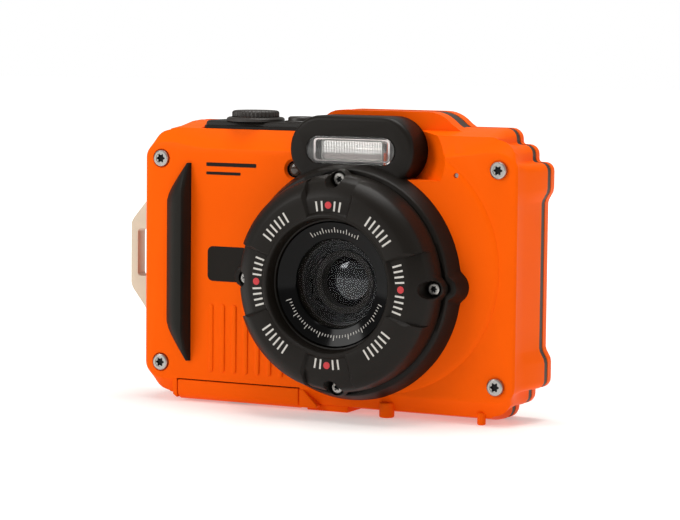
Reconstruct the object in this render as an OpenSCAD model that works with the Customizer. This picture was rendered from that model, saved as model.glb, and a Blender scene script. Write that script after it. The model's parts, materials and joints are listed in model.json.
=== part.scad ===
// Rugged compact waterproof camera, one node per physical piece.
// Millimetres. +Z up, the lens faces -Y, and the origin is the tripod socket's mouth.

/* [Casing] */
// Half width of the casing at its waist, at the joint between the covers
waist_half = 49.4; // [48.5:0.1:50]
// Half width of the casing over the corner lobes
lobe_half = 50.8; // [50.2:0.1:51.2]
// Height of the casing beside the hump
case_high = 68; // [67.8:0.1:68.4]
// Depth of the front cover, from the joint to the front face
front_deep = 13.5; // [13.2:0.1:13.8]
// Thickness of the front wall
wall = 1.8; // [1.6:0.1:2]
// Scale of the front face against the joint outline
front_scale = 0.966; // [0.95:0.002:0.99]

/* [Lens] */
// Lens axis, sideways from the tripod socket
lens_x = 7.4; // [7:0.1:7.8]
// Lens axis, height above the resting plane
lens_z = 31.8; // [31.4:0.1:32.2]
// Radius of the black base at the front cover
base_r = 28; // [27.6:0.1:28.2]
// Widest radius of the bezel ring
bezel_r = 25.5; // [25:0.1:25.8]
// Radius of the circle that the four bezel screws sit on
bezel_screw_pcr = 24.2; // [24:0.1:24.4]
// Radius of the front window's clear area
window_r = 10.4; // [10:0.1:10.8]

/* [Flash hump] */
// Radius of the hump's round ends
hump_r = 8; // [7.8:0.1:8]
// Half the distance between the centres of those ends
hump_half = 8.05; // [8:0.05:8.1]
// Height of the flash above the resting plane
flash_z = 62.4; // [62.2:0.1:62.6]

/* [Controls] */
// Gap round a key or button
key_gap = 0.2; // [0.15:0.01:0.25]

/* [Battery door] */
// Height of the hinge pin's axis
hinge_z = 1.6; // [1.6:0.01:1.62]
// Hinge pin's place front to back
hinge_y = 2.6; // [2.58:0.01:2.62]
// Radius of the hinge pin
hinge_pin_r = 0.5; // [0.45:0.01:0.52]

/* [Tripod socket] */
// Wall radius of the quarter inch thread
tripod_r = 3.175; // [3.175:0.001:3.176]
// Depth of the thread
tripod_deep = 5.5; // [5:0.1:5.8]

/* [Hidden] */
$fn = 48;
joint_y = 4.5;
rear_y = 6.7;
back_y = 9.9;
face_y = joint_y - front_deep;
mid_z = case_high / 2;
inner_y = face_y + wall;
seam_y = -13.7;
bezel_y = -22.6;
rim_y = -19.4;
hump_y = -10.5;
hump_back = -1.9;
orange_hump_back = 2.2;
screw_x = 44.1;
screw_low = 9.25;
screw_high = 58.9;
screw_face = -9.5;
screw_seat = -8.4;
head_r = 2;
shank_r = 1;
run = 0.05;
pad_r = 3.6;
pilot = 0.02;
bezel_head_y = -16.1;
bezel_seat_y = -14.9;
door_left = -39.6;
door_right = -6.2;
door_low = 0.5;
door_top = 2.4;
plate_left = -34.4;
plate_right = -5.8;
plate_low = 66.4;
plate_top = 68.3;
shutter_x = -22.6;
power_x = -10.3;
button_y = -1;
optic_y = -1.9;
optic_z = lens_z;
barrel_left = 1.9;
barrel_right = 46;
rod_z = 5.6;
screw_left = 12;
screw_right = 30;
screw_z = optic_z + 10.4;
screw_r = 0.8;
motor_r = 2.9;
keys_x = -30;
pad_z = 32.5;
rocker_z = 56;
rocker_pin_y = 7.7;
flash_left = lens_x - 11.4;
flash_right = lens_x + 11.4;

// ---- helpers -------------------------------------------------------------

// Extrudes an outline drawn as (x, z) from the front plane to the back plane.
module slab(front, back) {
    translate([0, back, 0]) rotate([90, 0, 0]) linear_extrude(back - front) children();
}

// Extrudes an outline drawn as (y, z) from one side to the other.
module beam(left, right) {
    translate([left, 0, 0]) rotate([90, 0, 90]) linear_extrude(right - left) children();
}

// Round bar along the camera's depth.
module rod_y(x, z, front, back, r) {
    translate([x, back, z]) rotate([90, 0, 0]) cylinder(r = r, h = back - front);
}

// Round bar along the camera's width.
module rod_x(left, right, y, z, r) {
    translate([left, y, z]) rotate([0, 90, 0]) cylinder(r = r, h = right - left);
}

// Block between two corners.
module block(low, high) {
    translate(low) cube(high - low);
}

// Turned piece about the lens axis; the outline is (radius, distance in front of y = 0).
module turned(points) {
    translate([lens_x, 0, lens_z]) rotate([90, 0, 0]) rotate_extrude() polygon(points);
}

module rounded_2d(left, right, low, high, r) {
    translate([left + r, low]) square([right - left - 2 * r, high - low]);
    translate([left, low + r]) square([right - left, high - low - 2 * r]);
    for (x = [left + r, right - r]) for (z = [low + r, high - r]) translate([x, z]) circle(r, $fn = 32);
}

module stadium_2d(x, z, half, r) {
    translate([x - half, z - r]) square([2 * half, 2 * r]);
    for (side = [-1, 1]) translate([x + side * half, z]) circle(r);
}

// Casing outline: three overlapping rounded boxes give the stepped corner lobes.
module casing_2d() {
    difference() {
        union() {
            rounded_2d(-43, 43, 0, case_high, 2.5);
            rounded_2d(-47, 47, 3.7, case_high - 4, 2.2);
            rounded_2d(-lobe_half, lobe_half, 7.7, case_high - 7.9, 2);
        }
        for (side = [-1, 1]) polygon([
            [side * waist_half, 16.7], [side * (lobe_half + 1), 14.7],
            [side * (lobe_half + 1), 53.7], [side * waist_half, 51.7]
        ]);
    }
}

module cavity_2d() {
    translate([-40.4, 2.6]) square([80.8, 62.8]);
    translate([-46.6, 14]) square([93.2, 40.5]);
}

// Outline of the hump as it rises behind the black flash housing.
module hump_2d() {
    polygon([
        [-5.6, 65], [-5.1, 69], [-2.4, 71.2], [0, 71.6],
        [24.5, 71.6], [27.5, 70.6], [29.9, 68.6], [32.5, 65]
    ]);
}

module flash_hump_2d(extra = 0) {
    stadium_2d(lens_x, flash_z, hump_half, hump_r + extra);
}

module at_case_screws() {
    for (x = [-screw_x, screw_x]) for (z = [screw_low, screw_high]) translate([x, 0, z]) children();
}

module at_bezel_screws() {
    for (turn = [0 : 90 : 270]) {
        translate([lens_x + bezel_screw_pcr * sin(turn), 0, lens_z + bezel_screw_pcr * cos(turn)]) children();
    }
}

// Slope along the casing's lower front edge, shared by the cover and the battery door.
module lower_slope() {
    beam(-60, 60) polygon([[-12, 5.5], [face_y, 5.5], [inner_y, 1.7], [inner_y, -3], [-12, -3]]);
}

// ---- casing --------------------------------------------------------------

module front_shell() {
    difference() {
        union() {
            translate([0, joint_y, mid_z]) rotate([90, 0, 0])
                linear_extrude(front_deep, scale = front_scale) translate([0, -mid_z]) casing_2d();
            slab(hump_back, orange_hump_back) hump_2d();
        }
        slab(inner_y, joint_y + 1) cavity_2d();
        slab(hump_back + 1.4, joint_y) translate([0, 64]) square([24, 5.6]);
        // Upper front slope and the step outside the lens panel.
        beam(-60, 60) polygon([[-12, 61.5], [face_y, 61.5], [-6.6, 66.2], [-6.6, 73], [-12, 73]]);
        lower_slope();
        slab(-12, face_y + 0.7) difference() {
            translate([20, -2]) square([40, 74]);
            translate([14.4, 35.7]) circle(29.7);
        }
    }
}

module front_cover() {
    color("orangered") difference() {
        union() {
            front_shell();
            at_case_screws() rod_y(0, 0, screw_face - 0.2, inner_y, pad_r);
            // Boss and foot ring round the tripod socket, and the two front feet.
            intersection() {
                cylinder(r = 5.3, h = 7.5);
                block([-6, -6, -1], [6, joint_y, 8]);
            }
            translate([16.1, -7.3, 0]) cylinder(r = 1.8, h = 3.5);
            translate([40, -6.9, 0]) cylinder(r = 1, h = 3);
        }
        slab(hump_y, hump_back) flash_hump_2d(run);
        rod_y(lens_x, lens_z, -12, inner_y + 1, 9.8);
        at_case_screws() {
            rod_y(0, 0, -12, screw_seat, head_r + 0.3);
            rod_y(0, 0, -12, joint_y + 1, shank_r + run);
        }
        rod_y(-8.3, 57.4, -12, inner_y + 1, 2.05);
        rod_y(33.6, 57.4, -12, inner_y + 1, 0.5);
        for (x = [10, 12.7, 15.4]) translate([x, 0.3, 68]) cylinder(r = 0.5, h = 5);
        // Room for the top plate and the stems under its buttons.
        block([plate_left - 0.1, -6.6, plate_low], [plate_right + 0.1, joint_y + 1, 74]);
        for (x = [shutter_x, power_x]) translate([x, button_y, 60]) cylinder(r = 1.5 + key_gap, h = 12);
        // Battery door opening, with lugs for its hinge left at both ends.
        difference() {
            block([door_left, -12, -1], [door_right, 3.85, door_top + 0.3]);
            for (span = [[door_left - 1, -35.3], [-10.5, door_right + 1]]) {
                rod_x(span[0], span[1], hinge_y, hinge_z, 1.1);
                block([span[0], hinge_y, 0.5], [span[1], 4, 2.7]);
            }
        }
        block([door_left, -12, 2], [door_right, inner_y + 0.2, 5.7]);
        rod_x(door_left + 0.8, door_right - 0.8, hinge_y, hinge_z, hinge_pin_r + 0.01);
        // Tripod bush and strap bracket.
        translate([0, 0, -1]) cylinder(r = 4.4, h = 7.6);
        block([-60, -1.85, 23.9], [-46, 1.85, 45.6]);
    }
}

module case_gasket() {
    color("saddlebrown") difference() {
        union() {
            slab(joint_y, rear_y) intersection() {
                casing_2d();
                translate([-lobe_half + 0.5, 0]) square([2 * lobe_half - 1, case_high - 0.5]);
            }
            slab(orange_hump_back, rear_y) intersection() {
                hump_2d();
                translate([-10, case_high - 0.6]) square([50, 6]);
            }
        }
        slab(joint_y - 0.1, rear_y + 1) cavity_2d();
        slab(orange_hump_back - 1, joint_y) translate([-60, 60]) square([120, case_high - 60]);
        slab(orange_hump_back - 1, rear_y + 1) translate([0, 64]) square([24, 5.6]);
        at_case_screws() rod_y(0, 0, 0, 12, shank_r + run);
    }
}

module rear_cover() {
    color("orangered") difference() {
        union() {
            slab(rear_y, back_y) casing_2d();
            slab(rear_y, back_y) hump_2d();
            // Lugs for the zoom rocker's pin.
            for (end = [-1, 1]) {
                block(
                    [keys_x - 1.5, 6.8, rocker_z + end * 3.4 - 0.5],
                    [keys_x + 1.5, 9, rocker_z + end * 3.4 + 0.5]
                );
            }
        }
        difference() {
            slab(rear_y - 1, back_y - 1.6) cavity_2d();
            for (end = [-1, 1]) {
                block(
                    [keys_x - 1.5, 6.8, rocker_z + end * 3.4 - 0.5],
                    [keys_x + 1.5, 9, rocker_z + end * 3.4 + 0.5]
                );
            }
        }
        translate([keys_x, rocker_pin_y, rocker_z - 5]) cylinder(r = hinge_pin_r + 0.01, h = 10);
        at_case_screws() rod_y(0, 0, 0, 7.8, shank_r + pilot);
        slab(back_y - 1.4, back_y + 1) rounded_2d(-14.6, 45.6, 11.4, 56.6, 2.1);
        slab(rear_y, back_y + 1) translate([-11, 15]) square([54, 39]);
        slab(rear_y, back_y + 1)
            rounded_2d(keys_x - 9.25, keys_x + 9.25, rocker_z - 2.75, rocker_z + 2.75, 2);
        for (key = round_keys()) rod_y(key[0], key[1], rear_y, back_y + 1, key[2] + key_gap);
        rod_y(keys_x, pad_z, rear_y, back_y + 1, 9.4 + key_gap);
        // Slopes along the back edges.
        for (side = [-1, 1]) slab(back_y - 1.2, back_y + 1) translate([side * (lobe_half + 0.1), mid_z])
            square([1.6, case_high + 10], center = true);
    }
}

module case_screws() {
    color("lightgray") at_case_screws() difference() {
        union() {
            rod_y(0, 0, screw_face, screw_seat, head_r);
            rod_y(0, 0, screw_seat, 7.6, shank_r);
        }
        translate([0, screw_face + 0.8, 0]) rotate([90, 0, 0]) cylinder(r = 0.9, h = 2, $fn = 6);
    }
}

module grip_pad() {
    color("dimgray") intersection() {
        slab(-14, face_y) polygon([
            [-36.7, 58], [-35.8, 57.4], [-35.8, 10.7], [-36.5, 10.1], [-43.2, 20], [-43.2, 49.7]
        ]);
        linear_extrude(70) polygon([[-44, face_y], [-43.2, face_y - 0.6], [-36.2, -12.6], [-35.7, face_y]]);
    }
}

module strap_bracket() {
    color("tan") union() {
        difference() {
            slab(-1.8, 1.8) polygon([
                [-46.6, 24], [-51, 24], [-51, 20.4], [-51.9, 20.4], [-56.8, 27],
                [-56.8, 42.6], [-52.6, 48], [-51, 48], [-51, 45.5], [-46.6, 45.5]
            ]);
            slab(-5, 5) rounded_2d(-54.9, -49.5, 29.2, 40.9, 0.8);
        }
        block([-46.6, -3.2, 23], [-45.4, 3.2, 46.4]);
    }
}

// ---- tripod socket -------------------------------------------------------

module tripod_socket() {
    color("silver") difference() {
        cylinder(r = 4.4, h = tripod_deep + 1);
        translate([0, 0, -1]) cylinder(r = tripod_r, h = tripod_deep + 1);
    }
}

// ---- lens front ----------------------------------------------------------

module lens_housing() {
    color("dimgray") difference() {
        union() {
            translate([lens_x, face_y, lens_z]) rotate([90, 0, 0])
                cylinder(r1 = base_r, r2 = 26.3, h = face_y - seam_y);
            for (turn = [0 : 90 : 270]) {
                rod_y(lens_x + 26.2 * sin(turn), lens_z + 26.2 * cos(turn), seam_y, face_y, 3.1);
            }
            rod_y(lens_x, lens_z, -15.2, seam_y, 14.4);
            slab(hump_y, hump_back) difference() {
                flash_hump_2d();
                translate([-20, 40]) square([60, 12]);
            }
        }
        rod_y(lens_x, lens_z, -20, 0, 9.8);
        at_bezel_screws() rod_y(0, 0, -20, -10.4, 0.75 + pilot);
        slab(hump_y - 1, -3) stadium_2d(lens_x, flash_z, 8.25, 3.3);
        rod_y(-8.3, 57.4, -8.5, 0, 2 + run);
    }
}

module bezel_ring() {
    color("dimgray") difference() {
        turned([
            [14.6, -seam_y], [25.2, -seam_y], [bezel_r, 15.2], [24.6, 19.1], [21, -bezel_y],
            [15.9, -bezel_y], [15.4, 22.2], [15, -rim_y], [14.6, 19.2]
        ]);
        // Sunken pads at the four screws.
        for (turn = [0 : 90 : 270]) {
            half = turn % 180 == 0 ? 17 : 22;
            slab(-26, bezel_y + 0.7) translate([lens_x, lens_z]) rotate(-turn) difference() {
                polygon([[0, 0], [-30 * sin(half), 30 * cos(half)], [30 * sin(half), 30 * cos(half)]]);
                circle(16.8);
            }
        }
        at_bezel_screws() {
            rod_y(0, 0, -26, bezel_seat_y, 1.9);
            rod_y(0, 0, -26, -10, 0.75 + run);
        }
    }
}

module bezel_screws() {
    color("lightgray") at_bezel_screws() difference() {
        union() {
            rod_y(0, 0, bezel_head_y, bezel_seat_y, 1.5);
            rod_y(0, 0, bezel_seat_y, -10.4, 0.75);
        }
        translate([0, bezel_head_y + 0.6, 0]) rotate([90, 0, 0]) cylinder(r = 0.7, h = 2, $fn = 6);
    }
}

module window_retainer() {
    color("black") turned([
        [11.2, 16.7], [14.5, 16.7], [14.5, 18.9], [14.2, 18.9], [window_r, 17.4], [window_r, 16.7]
    ]);
}

module lens_window() {
    color("lightblue") rod_y(lens_x, lens_z, -16.7, -15.6, 14.2);
}

module window_seal() {
    color("black") turned([[12.4, 15.2], [13.6, 15.2], [13.6, 15.6], [12.4, 15.6]]);
}

module assist_lamp() {
    color("gray") rod_y(-8.3, 57.4, -8.4, -6.6, 2);
}

module microphone() {
    color("silver") rod_y(33.6, 57.4, inner_y, -6, 2);
}

// ---- flash ---------------------------------------------------------------

module flash_window() {
    color("white") slab(hump_y - 0.2, -9.7) stadium_2d(lens_x, flash_z, 8.25, 3.2);
}

module flash_reflector() {
    color("silver") difference() {
        block([lens_x - 9.8, -9.6, flash_z - 2.6], [lens_x + 9.8, -4.2, flash_z + 2.6]);
        rod_x(lens_x - 9, lens_x + 9, -6.6, flash_z, 2.1);
        block([lens_x - 9, -10, flash_z - 2.1], [lens_x + 9, -6.6, flash_z + 2.1]);
        rod_x(lens_x - 12, lens_x + 12, -6.6, flash_z, 1.1);
    }
}

module flash_tube() {
    color("lightcyan") rod_x(flash_left + 0.6, flash_right - 0.6, -6.6, flash_z, 1);
}

module flash_board() {
    color("seagreen") block([-4, -1.6, 54.9], [20, -0.6, 64.9]);
}

module flash_capacitor() {
    color("black") rod_x(18, 44, -2.6, 49.4, 4.1);
}

// ---- top controls --------------------------------------------------------

module top_plate() {
    color("dimgray") difference() {
        slab(-6.5, joint_y) polygon([
            [plate_left + 0.6, plate_low], [plate_left, plate_top],
            [plate_right, plate_top], [plate_right, plate_low]
        ]);
        slab(hump_y, hump_back) flash_hump_2d(run);
        translate([shutter_x, button_y, 67.4]) cylinder(r = 5.7 + key_gap, h = 4);
        translate([power_x, button_y, 67.2]) cylinder(r = 3.15 + key_gap, h = 4);
        for (x = [shutter_x, power_x]) translate([x, button_y, 60]) cylinder(r = 1.5 + key_gap, h = 12);
    }
}

module shutter_collar() {
    color("black") translate([shutter_x, button_y, plate_top]) difference() {
        cylinder(r = 7, h = 0.9);
        translate([0, 0, -1]) cylinder(r = 5.7 + key_gap, h = 3);
    }
}

module shutter_button() {
    color("dimgray") translate([shutter_x, button_y, 0]) {
        translate([0, 0, plate_top]) cylinder(r = 5.7, h = 2.5);
        translate([0, 0, 63.5]) cylinder(r = 1.5, h = plate_top - 63.5);
    }
}

module power_button() {
    color("black") translate([power_x, button_y, 0]) {
        translate([0, 0, 67.9]) cylinder(r = 3.15, h = 1.7);
        translate([0, 0, 63.5]) cylinder(r = 1.5, h = 4.4);
    }
}

module switch_board() {
    color("seagreen") difference() {
        block([-34, -5, 60.8], [-6, 3, 61.8]);
        slab(hump_y, hump_back) flash_hump_2d(run);
    }
    color("black") for (x = [shutter_x, power_x]) translate([x, button_y, 61.8]) cylinder(r = 2.4, h = 0.6);
}

// ---- battery compartment -------------------------------------------------

module battery_bay() {
    color("gray") difference() {
        block([-38.4, -7.1, 3.6], [-6.4, 0.1, 45]);
        block([-38, -6.7, 0], [-6.8, -0.3, 44.6]);
    }
}

module battery() {
    color("slategray") block([-37.8, -6.5, 4.2], [-7, -0.5, 43.8]);
}

module battery_contacts() {
    color("gold") for (x = [-33, -29, -25]) block([x, -5, 43.8], [x + 1.6, -2, 44.6]);
}

module battery_door() {
    color("orangered") difference() {
        union() {
            block([door_left + 0.2, -7.2, door_low], [door_right - 0.2, 1.2, door_top]);
            block([door_left + 0.2, face_y, door_low], [door_right - 0.2, -7.2, 5.4]);
            block([-35, 1.2, door_low], [-10.8, hinge_y, 2.3]);
            rod_x(-35, -10.8, hinge_y, hinge_z, 1.1);
        }
        lower_slope();
        rod_x(-60, 60, hinge_y, hinge_z, hinge_pin_r + run);
        // Recess and slot for the latch.
        block([-27.2, -5.2, 0], [-17.8, -0.8, 1.1]);
        block([-24.7, -3.6, 0], [-18.3, -2.4, 4]);
    }
}

module door_seal() {
    color("black") difference() {
        block([-38.6, -6.9, door_top], [-6.6, 0.9, 3.3]);
        block([-37.8, -6.1, 0], [-7.4, 0.1, 5]);
    }
}

module door_latch() {
    color("dimgray") {
        block([-27, -5, 0.55], [-22, -1, 1.05]);
        block([-24.5, -3.5, 1.05], [-22.5, -2.5, 2.5]);
        block([-26, -4.4, 2.5], [-21, -1.6, 3.1]);
    }
}

module hinge_pin() {
    color("silver") rod_x(door_left + 1, door_right - 1, hinge_y, hinge_z, hinge_pin_r);
}

// ---- electronics ---------------------------------------------------------

module main_board() {
    color("seagreen") slab(3.6, joint_y) difference() {
        translate([-40, 8]) square([80, 52]);
        translate([-39, 7]) square([33, 2]);
    }
}

module card_slot() {
    color("silver") difference() {
        block([-38.6, 0.5, 8], [-13.8, 3.4, 34]);
        block([-38.3, 0.8, 0], [-14.1, 3.1, 33.6]);
    }
}

module memory_card() {
    color("navy") block([-38.2, 0.9, 3.6], [-14.2, 3, 33.4]);
}

module usb_port() {
    color("silver") difference() {
        block([-13.4, 0.5, 3.4], [-6.4, 3.4, 9]);
        block([-13, 0.9, 0], [-6.8, 3, 8.4]);
    }
}

module lcd_panel() {
    color("black") block([-13.5, 5.4, 14.1], [44.4, 7.8, 54.4]);
}

module display_window() {
    color("black") slab(back_y - 1.4, back_y) rounded_2d(-14.5, 45.5, 11.5, 56.5, 2);
}

module key_mat() {
    color("gray") block([-40, 5.9, 13], [-17, 6.4, 60]);
}

module speaker() {
    color("gray") rod_y(30, 58.6, 0, 2.6, 4.5);
}

// ---- folded optics -------------------------------------------------------

module objective_lens() {
    color("lightblue") rod_y(lens_x, lens_z, -12.4, -7.6, 6);
}

module prism() {
    color("lightblue")
        block([lens_x - 4.4, optic_y - 4.4, lens_z - 4.4], [lens_x + 4.4, optic_y + 4.4, lens_z + 4.4]);
}

module lens_barrel() {
    color("black") difference() {
        union() {
            block([barrel_left, -7, optic_z - 7], [barrel_right, 3.4, optic_z + 7]);
            rod_y(lens_x, lens_z, -12.6, -7, 7.4);
            // Saddle under the motor and bearing for the far end of the screw.
            block([screw_left - 7, optic_y - 2, optic_z + 7], [screw_left - 1, optic_y + 2, screw_z - 2]);
            block([screw_right, optic_y - 2, optic_z + 7], [screw_right + 1.5, optic_y + 2, screw_z + 2]);
        }
        rod_y(lens_x, lens_z, -13, -7.6, 6.02);
        rod_y(lens_x, lens_z, -8, optic_y, 4.4);
        rod_x(screw_left - 8, screw_left, optic_y, screw_z, motor_r + 0.02);
        rod_x(screw_right - 1, screw_right + 1, optic_y, screw_z, screw_r + run);
        block([14.6, optic_y - 1.2, optic_z + 5], [screw_right - 0.4, optic_y + 1.2, optic_z + 8]);
        block([lens_x - 4.5, optic_y - 4.5, lens_z - 4.5], [lens_x + 4.5, optic_y + 4.5, lens_z + 4.5]);
        rod_x(lens_x, 44, optic_y, optic_z, 4.4);
        block([43.9, optic_y - 4 - run, optic_z - 4 - run], [45.45, optic_y + 4 + run, optic_z + 4 + run]);
        block([14, optic_y - 1.4, optic_z - 6.4], [44, optic_y + 1.4, optic_z + 6.4]);
        for (side = [-1, 1]) rod_x(12.6, 45.4, optic_y, optic_z + side * rod_z, hinge_pin_r + 0.01);
    }
}

// Lens cell that slides along the guide rods: a tube with a lug over each rod.
module lens_cell(left, long) {
    difference() {
        union() {
            rod_x(left, left + long, optic_y, optic_z, 4);
            block([left, optic_y - 1.1, optic_z - 6.3], [left + long, optic_y + 1.1, optic_z + 6.3]);
        }
        for (side = [-1, 1]) rod_x(left - 1, left + long + 1, optic_y, optic_z + side * rod_z, 0.5 + run);
        rod_x(left - 1, left + 1, optic_y, optic_z, 3.2);
        rod_x(left + long - 1, left + long + 1, optic_y, optic_z, 3.2);
    }
}

// The zoom cell has an arm with a nut on the screw.
module zoom_group() {
    color("silver") {
        lens_cell(15, 6);
        difference() {
            block([15.5, optic_y - 1, optic_z + 6.3], [18.5, optic_y + 1, screw_z + 1.6]);
            rod_x(15, 19, optic_y, screw_z, screw_r + run);
        }
    }
}

module focus_group() {
    color("silver") lens_cell(33, 4);
}

module guide_rods() {
    color("silver") for (side = [-1, 1]) rod_x(12.8, 45.2, optic_y, optic_z + side * rod_z, 0.5);
}

module zoom_motor() {
    color("gray") difference() {
        rod_x(screw_left - 7.5, screw_left - 0.5, optic_y, screw_z, motor_r);
        rod_x(screw_left - 2.5, screw_left, optic_y, screw_z, screw_r + run);
    }
}

module lead_screw() {
    color("silver") rod_x(screw_left - 2.4, screw_right + 0.9, optic_y, screw_z, screw_r);
}

module image_sensor() {
    color("seagreen") block([44, optic_y - 4, optic_z - 4], [45.4, optic_y + 4, optic_z + 4]);
}

// ---- rear keys -----------------------------------------------------------

function round_keys() = [
    [keys_x - 7.5, 47, 2.8], [keys_x + 7.5, 47, 2.8], [keys_x - 7.5, 18, 2.8], [keys_x + 7.5, 18, 2.8]
];

// Round key with a flange behind the rear cover's wall.
module round_key(x, z, r) {
    rod_y(x, z, 8.2, 10.3, r);
    rod_y(x, z, 7.4, 8.2, r + 0.5);
}

// One quarter of the direction pad, turned about its centre.
module direction_key(turn) {
    slab(7.4, 10.3) translate([keys_x, pad_z]) rotate(turn) difference() {
        intersection() {
            circle(9.4);
            polygon([[0, 0], [-12 * sin(42), 12 * cos(42)], [12 * sin(42), 12 * cos(42)]]);
        }
        circle(4.2);
    }
}

module record_key() {
    color("firebrick") round_key(round_keys()[0][0], round_keys()[0][1], 2.8);
}

module play_key() {
    color("dimgray") round_key(round_keys()[1][0], round_keys()[1][1], 2.8);
}

module menu_key() {
    color("dimgray") round_key(round_keys()[2][0], round_keys()[2][1], 2.8);
}

module delete_key() {
    color("dimgray") round_key(round_keys()[3][0], round_keys()[3][1], 2.8);
}

module up_key() {
    color("dimgray") direction_key(0);
}

module down_key() {
    color("dimgray") direction_key(180);
}

module left_key() {
    color("dimgray") direction_key(90);
}

module right_key() {
    color("dimgray") direction_key(270);
}

module ok_key() {
    color("gray") rod_y(keys_x, pad_z, 7.4, 10.3, 3.9);
}

module zoom_rocker() {
    color("dimgray") difference() {
        union() {
            slab(8.5, 10.4) rounded_2d(keys_x - 9, keys_x + 9, rocker_z - 2.5, rocker_z + 2.5, 1.8);
            translate([keys_x, rocker_pin_y, rocker_z - 2.5]) cylinder(r = 1, h = 5);
        }
        translate([keys_x, rocker_pin_y, rocker_z - 5]) cylinder(r = 0.5 + run, h = 10);
    }
}

module rocker_pin() {
    color("silver") translate([keys_x, rocker_pin_y, rocker_z - 3.8]) cylinder(r = 0.5, h = 7.6);
}

// ---- the assembly --------------------------------------------------------

front_cover();
case_gasket();
rear_cover();
case_screws();
lens_housing();
bezel_ring();
bezel_screws();
window_retainer();
lens_window();
window_seal();
flash_window();
flash_reflector();
flash_tube();
flash_board();
flash_capacitor();
assist_lamp();
grip_pad();
top_plate();
shutter_collar();
shutter_button();
power_button();
switch_board();
strap_bracket();
tripod_socket();
battery_bay();
battery();
battery_contacts();
battery_door();
door_seal();
door_latch();
hinge_pin();
main_board();
card_slot();
memory_card();
usb_port();
objective_lens();
prism();
lens_barrel();
zoom_group();
focus_group();
guide_rods();
zoom_motor();
lead_screw();
image_sensor();
lcd_panel();
display_window();
key_mat();
zoom_rocker();
rocker_pin();
record_key();
play_key();
up_key();
down_key();
left_key();
right_key();
ok_key();
menu_key();
delete_key();
microphone();
speaker();
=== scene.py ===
# %% [markdown]
# # A rugged waterproof compact camera
# The camera's frame comes from its engineering model: every named node already has its true
# size and place. This lesson dresses that frame. Each outer piece is modelled again with
# softened edges and moulded detail, and each inner piece keeps its mesh and gets a finish.

# %% Load the frame
import json
import math
import bmesh
import bpy
from mathutils import Matrix, Vector


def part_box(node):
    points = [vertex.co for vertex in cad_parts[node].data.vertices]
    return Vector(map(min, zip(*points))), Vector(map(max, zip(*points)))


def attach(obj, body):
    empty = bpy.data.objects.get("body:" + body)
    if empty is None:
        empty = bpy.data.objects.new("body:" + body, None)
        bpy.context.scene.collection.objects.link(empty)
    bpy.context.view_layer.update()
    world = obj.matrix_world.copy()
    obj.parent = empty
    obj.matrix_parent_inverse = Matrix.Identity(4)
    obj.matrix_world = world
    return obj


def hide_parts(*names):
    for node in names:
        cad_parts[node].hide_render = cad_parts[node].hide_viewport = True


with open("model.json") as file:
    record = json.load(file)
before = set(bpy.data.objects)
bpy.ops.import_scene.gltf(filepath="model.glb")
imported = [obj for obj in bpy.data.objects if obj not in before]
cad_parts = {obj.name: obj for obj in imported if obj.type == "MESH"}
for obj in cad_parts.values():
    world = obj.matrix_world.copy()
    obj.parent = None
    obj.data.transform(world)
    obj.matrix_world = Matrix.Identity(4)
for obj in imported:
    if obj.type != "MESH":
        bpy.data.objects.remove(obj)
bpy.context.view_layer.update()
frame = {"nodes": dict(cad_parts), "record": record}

# %% [markdown]
# ## Driving values
# All lengths below are millimetres and become metres only when a mesh is written. The places
# of the lens, the hump, the screws and the buttons are read from the frame's own nodes.

# %% Driving values
MM = 0.001


def middle(node):
    """The middle of a node's box, in millimetres."""
    low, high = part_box(node)
    return (Vector(low) + Vector(high)) / 2 / MM


def corner(node, high=False):
    """The lowest or the highest corner of a node's box, in millimetres."""
    return Vector(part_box(node)[1 if high else 0]) / MM


LENS = middle("lens_window")
FLASH = middle("flash_window")
JOINT = corner("front_cover", True).y
REAR = corner("rear_cover").y
BACK = corner("rear_cover", True).y
FACE = -9.0
CASE_HIGH = 68.0
LOBE = corner("rear_cover", True).x
WAIST = LOBE - 1.4
SCREW_X = corner("case_screws", True).x - 2.0
SCREW_LOW = corner("case_screws").z + 2.0
SCREW_HIGH = corner("case_screws", True).z - 2.0
SHUTTER = middle("shutter_collar")
POWER = middle("power_button")
LAMP = (-8.3, 57.4)
MICROPHONE = (33.6, 57.4)
BAY_LEFT, BAY_RIGHT = -39.6, -6.2
print("lens axis at", [round(v, 2) for v in LENS], "flash at", [round(v, 2) for v in FLASH])

# %% [markdown]
# ## The viewing camera
# A long lens from the front right, a little above the table, keeps the outlines nearly
# parallel. The floor, the room and the lights come last, when every piece is in place.

# %% Camera
AZIMUTH = math.radians(26.13)
ELEVATION = math.radians(5.25)
ROLL = math.radians(0.6)
DISTANCE = 0.6033
FOCAL_LENGTH = 135.85
back = Vector((
    math.sin(AZIMUTH) * math.cos(ELEVATION),
    -math.cos(AZIMUTH) * math.cos(ELEVATION),
    math.sin(ELEVATION),
))
aim = Vector((3.57, -7.5, 36.4)) * MM
level = Vector((0, 0, 1)).cross(back).normalized()
upright = back.cross(level)
side = level * math.cos(ROLL) + upright * math.sin(ROLL)
top = upright * math.cos(ROLL) - level * math.sin(ROLL)
bpy.ops.object.camera_add()
camera = bpy.context.object
turned_to = Matrix((side, top, back)).transposed().to_4x4()
camera.matrix_world = Matrix.Translation(aim + back * DISTANCE) @ turned_to
camera.data.lens = FOCAL_LENGTH
camera.data.sensor_width = 36
camera.data.clip_start = 0.01
bpy.context.scene.camera = camera
print("camera stands", DISTANCE, "m from its aim")

# %% Helpers for finishes
def sockets(tree, inputs, outputs):
    """Declares a node group's inputs, with their defaults, and its outputs."""
    for name, kind, value in inputs:
        tree.interface.new_socket(name, in_out="INPUT", socket_type=kind).default_value = value
    for name, kind in outputs:
        tree.interface.new_socket(name, in_out="OUTPUT", socket_type=kind)
    return tree.nodes.new("NodeGroupInput"), tree.nodes.new("NodeGroupOutput")


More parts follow.
